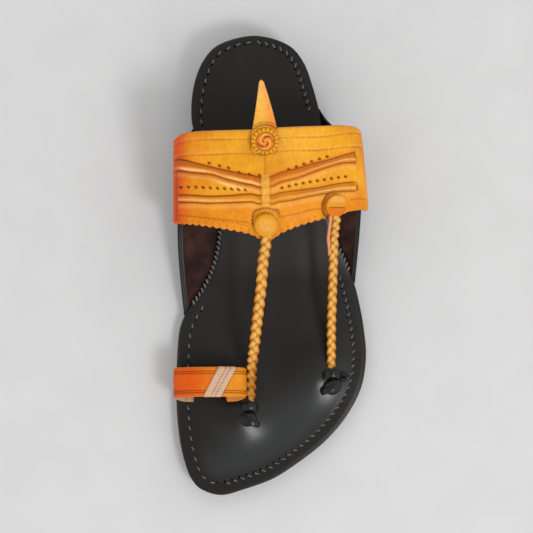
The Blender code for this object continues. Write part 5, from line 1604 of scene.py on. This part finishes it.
for name, (x_share, along_share) in THONG_SPOTS.items():
    x, along = x_share * BALL_WIDTH, along_share * SOLE_LENGTH
    side = 1.0 if name == "centre" else -1.0
    centre_along = along + THONG_WIDTH / 2 + SEAM_GAP + KNOT_LENGTH / 2
    base = float(insole_top(centre_along + KNOT_LENGTH / 2)) + SEAM_GAP
    u = np.linspace(0, 2 * np.pi, 72, endpoint=False)[None, :]
    v = np.linspace(0, np.pi, 44)[:, None]
    folds = np.sin(2 * u + 3.2 * np.cos(v) + 0.7 * side) + 0.35 * np.sin(5 * u - 3.4 * v)
    size = 1 + 0.060 * folds * np.sin(v) ** 0.7
    ball = np.stack(
        [
            x + side * 0.0008 + KNOT_WIDTH * 0.44 * size * np.sin(v) * np.cos(u),
            centre_along - HEEL_CENTRE - 0.0010 + KNOT_LENGTH * 0.46 * size * np.sin(v) * np.sin(u),
            base + KNOT_HEIGHT * 0.5 * (0.92 + size * np.cos(v)) + 0 * u,
        ],
        -1,
    )
    finish_knot(make_piece(f"{name}_knot_ball", ball.reshape(-1, 3), grid_faces(44, 72, closed=True), THONG_LEATHER), name)
    t = np.linspace(-0.25, 1.25, 48) * np.pi
    wrap = place(
        x - side * 0.0006 + 0.0052 * np.cos(t), centre_along + 0.0004 - 0.0022 * np.cos(t) * side,
        base + KNOT_HEIGHT * (0.42 + 0.56 * np.sin(t)),
    )
    rings = strap_rings(wrap, np.array((0.25 * side, 1.0, 0.0)), 0.0019, 0.0009)
    finish_knot(loft(f"{name}_knot_wrap", rings, THONG_LEATHER), name)
    t = np.linspace(-0.12, 1.12, 40) * np.pi
    loop = place(
        x + side * (THONG_SPAN / 2 - 0.0014 + 0.0050 * np.sin(t)), along + 0.0016 - 0.0020 * np.cos(t),
        base + 0.0016 + 0.0008 * np.sin(t) + 0 * t,
    )
    rings = strap_rings(loop, np.array((0.0, 0.0, 1.0)), 0.0010, 0.0013)
    finish_knot(loft(f"{name}_knot_loop", rings, THONG_LEATHER), name)
print("thongs and knots dressed")

# %% [markdown]
# ## Stitches
# Waxed thread holds the insole to the outsole. One stitch is a short capsule half sunk in the
# channel. There are well over a hundred, so a capsule has only a few dozen faces, and all of
# them are copies of one array, turned and moved in one go.

# %% Sew the insole
STITCH_PITCH = {"medial": 0.0063, "lateral": 0.0046}
STITCH_LENGTH = 0.0031
STITCH_HALF = 0.00050
STITCH_SLANT_DEG = {"medial": 12.0, "lateral": 38.0}


def capsules(name, centres, ahead, up, length, radius, material, flat=1.0):
    """Copies of one capsule: rings of 8 points whose radius follows a half circle at both ends."""
    turn = np.linspace(0, 2 * np.pi, 8, endpoint=False)
    along = np.array([-1.0, -0.93, -0.72, -0.3, 0.3, 0.72, 0.93, 1.0]) * length / 2
    swell = np.array([0.0, 0.6, 0.92, 1.0, 1.0, 0.92, 0.6, 0.0]) * radius
    side = np.cross(ahead, up)
    one = len(along) * len(turn)
    points = (
        centres[:, None, None]
        + ahead[:, None, None] * along[None, :, None, None]
        + side[:, None, None] * (swell[:, None] * np.cos(turn))[None, ..., None]
        + up[:, None, None] * (swell[:, None] * np.sin(turn))[None, ..., None] * flat
    )
    faces = grid_faces(len(along), len(turn), closed=True)
    faces = (faces[None] + (np.arange(len(centres)) * one)[:, None, None]).reshape(-1, 4)
    return make_piece(name, points.reshape(-1, 3), faces, material)


def along_line(line, pitch, start):
    """Spots on a plan line at even distances, and the line's direction at each."""
    length = np.concatenate([[0], np.cumsum(np.linalg.norm(np.diff(line, axis=0), axis=1))])
    at = np.arange(start, length[-1] - pitch / 2, pitch)
    here = np.stack([np.interp(at, length, line[:, k]) for k in (0, 1)], -1)
    ahead = np.stack([np.interp(at + 0.0005, length, line[:, k]) for k in (0, 1)], -1)
    return here, unit(ahead - here)


def turned(directions, degrees):
    """Plan directions turned by an angle, with a zero height."""
    c, s = np.cos(np.radians(degrees)), np.sin(np.radians(degrees))
    return np.column_stack([directions[:, 0] * c - directions[:, 1] * s, directions[:, 0] * s + directions[:, 1] * c, 0 * directions[:, 0]])


centres, aheads, holes = [], [], []
for (side, pitch), line in zip(STITCH_PITCH.items(), channel_line(900)):
    spots, directions = along_line(line, pitch, pitch * 0.6)
    free = beside_ear(side, spots[:, 1]) < 0.5
    spots, directions = spots[free], directions[free]
    sign = 1.0 if side == "medial" else -1.0
    ahead = turned(directions, sign * STITCH_SLANT_DEG[side])
    relief, _ = insole_relief(spots[:, 0], spots[:, 1])
    level = place(spots[:, 0], spots[:, 1], insole_top(spots[:, 1]) + relief)
    centres.append(level + (0, 0, 0.00012))
    aheads.append(ahead)
    holes.append(level + ahead * STITCH_LENGTH * 0.62 + (0, 0, 0.00003))
centres, aheads, holes = (np.concatenate(part) for part in (centres, aheads, holes))
up = np.broadcast_to((0.0, 0.0, 1.0), aheads.shape)
stitches = capsules("insole_stitches", centres, aheads, up, STITCH_LENGTH, STITCH_HALF, THREAD)
# Painted shade: flat dark discs at the end of each stitch stand for the shaded insides of the needle holes.
needle_hole_shade = capsules("needle_hole_shade", holes, aheads, up, 0.0019, 0.00075, HOLE_BLACK, flat=0.12)
print("stitches:", len(centres))

# %% Whip the insole to the ears
WHIP_PITCH = 0.0031
WHIP_LENGTH = 0.0030
WHIP_HALF = 0.00060
WHIP_START_SHARE = 0.38
for side, column, slant in (("medial", 1, 52.0), ("lateral", 2, -52.0)):
    span = np.array(EAR_SPANS[side][:2]) * SOLE_LENGTH
    inside = (EDGE[:, 0] > WHIP_START_SHARE * SOLE_LENGTH) & (EDGE[:, 0] < span[1] - 0.006)
    spots, directions = along_line(EDGE[inside][:, [column, 0]], WHIP_PITCH, WHIP_PITCH)
    sign = 1.0 if side == "medial" else -1.0
    level = place(spots[:, 0] - sign * 0.0004, spots[:, 1], insole_top(spots[:, 1]) + 0.0001)
    ahead = turned(directions, slant)
    ahead[:, 2] = -0.25 * np.sign(ahead[:, 0]) * sign
    ahead = unit(ahead)
    side_up = unit(np.array((0, 0, 1.0)) - ahead * ahead[:, 2:])
    whip = capsules(f"{side}_whip_stitches", level, ahead, side_up, WHIP_LENGTH, WHIP_HALF, WHIP_THREAD)

# %% [markdown]
# ## Set and light
# The sandal lies on a pale floor under one broad soft light, with weaker light from all round.
# The camera hangs high above and looks almost straight down, with the toe towards the foot of
# the picture.

# %% Floor, lights and camera
rng_floor = bpy.data.meshes.new("paper_floor")
n = 40
g = np.linspace(-1.6, 1.6, n)
fx, fy = np.meshgrid(g, g + 0.1, indexing="ij")
fz = np.zeros_like(fx)
rng_floor.from_pydata(np.stack([fx, fy, fz], -1).reshape(-1, 3).tolist(), [], grid_faces(n, n).tolist())
floor = bpy.data.objects.new("paper_floor", rng_floor)
bpy.context.scene.collection.objects.link(floor)
paper, tree, shader = new_material("pale paper")
tree.links.new(ramp(tree, noise(tree, 30, 3), (0.3, 0.525), (0.7, 0.550)), shader.inputs["Base Color"])
shader.inputs["Roughness"].default_value = 0.9
add_bump(tree, shader, (noise(tree, 500, 3), 0.0001, 0.2))
floor.data.materials.append(paper)

world = bpy.data.worlds.new("studio")
bpy.context.scene.world = world
world.use_nodes = True
tree = world.node_tree
sky_spot = tree.nodes.new("ShaderNodeTexCoord")
parts = tree.nodes.new("ShaderNodeSeparateXYZ")
tree.links.new(sky_spot.outputs["Generated"], parts.inputs["Vector"])
sky = ramp(tree, parts.outputs["Z"], (0.0, 1.0), (0.84, 1.0), (0.97, 0.58))
tree.links.new(sky, tree.nodes["Background"].inputs["Color"])
tree.nodes["Background"].inputs["Strength"].default_value = 1.10


def aim(thing, spot, target, up):
    """Stands a lamp or camera at a spot, looking at a target, with up upwards in its picture."""
    from mathutils import Matrix

    back = unit(np.array(spot, float) - np.array(target, float))
    right = unit(np.cross(np.array(up, float), back))
    turned = np.column_stack([right, np.cross(back, right), back, spot])
    thing.matrix_world = Matrix(np.vstack([turned, (0, 0, 0, 1)]).tolist())


def soft_lamp(name, spot, size, power, colour):
    """A square area lamp aimed at the sandal."""
    light = bpy.data.lights.new(name, "AREA")
    light.size = size
    light.energy = power
    light.color = colour
    lamp = bpy.data.objects.new(name, light)
    bpy.context.scene.collection.objects.link(lamp)
    aim(lamp, spot, (0, 0.1, 0.03), (0, 1, 0.01))
    return lamp


soft_lamp("key", (-1.00, 1.04, 2.185), 0.60, 23.0, (1.0, 1.0, 1.0))

camera_data = bpy.data.cameras.new("camera")
camera_data.sensor_width = 36.0
camera_data.lens = 131.0
camera = bpy.data.objects.new("camera", camera_data)
bpy.context.scene.collection.objects.link(camera)
aim(camera, (0.0544, 0.0929, 1.2), (-0.008, 0.104, 0.02), (0, -1, 0))
bpy.context.scene.camera = camera
bpy.context.scene.view_settings.view_transform = "Standard"
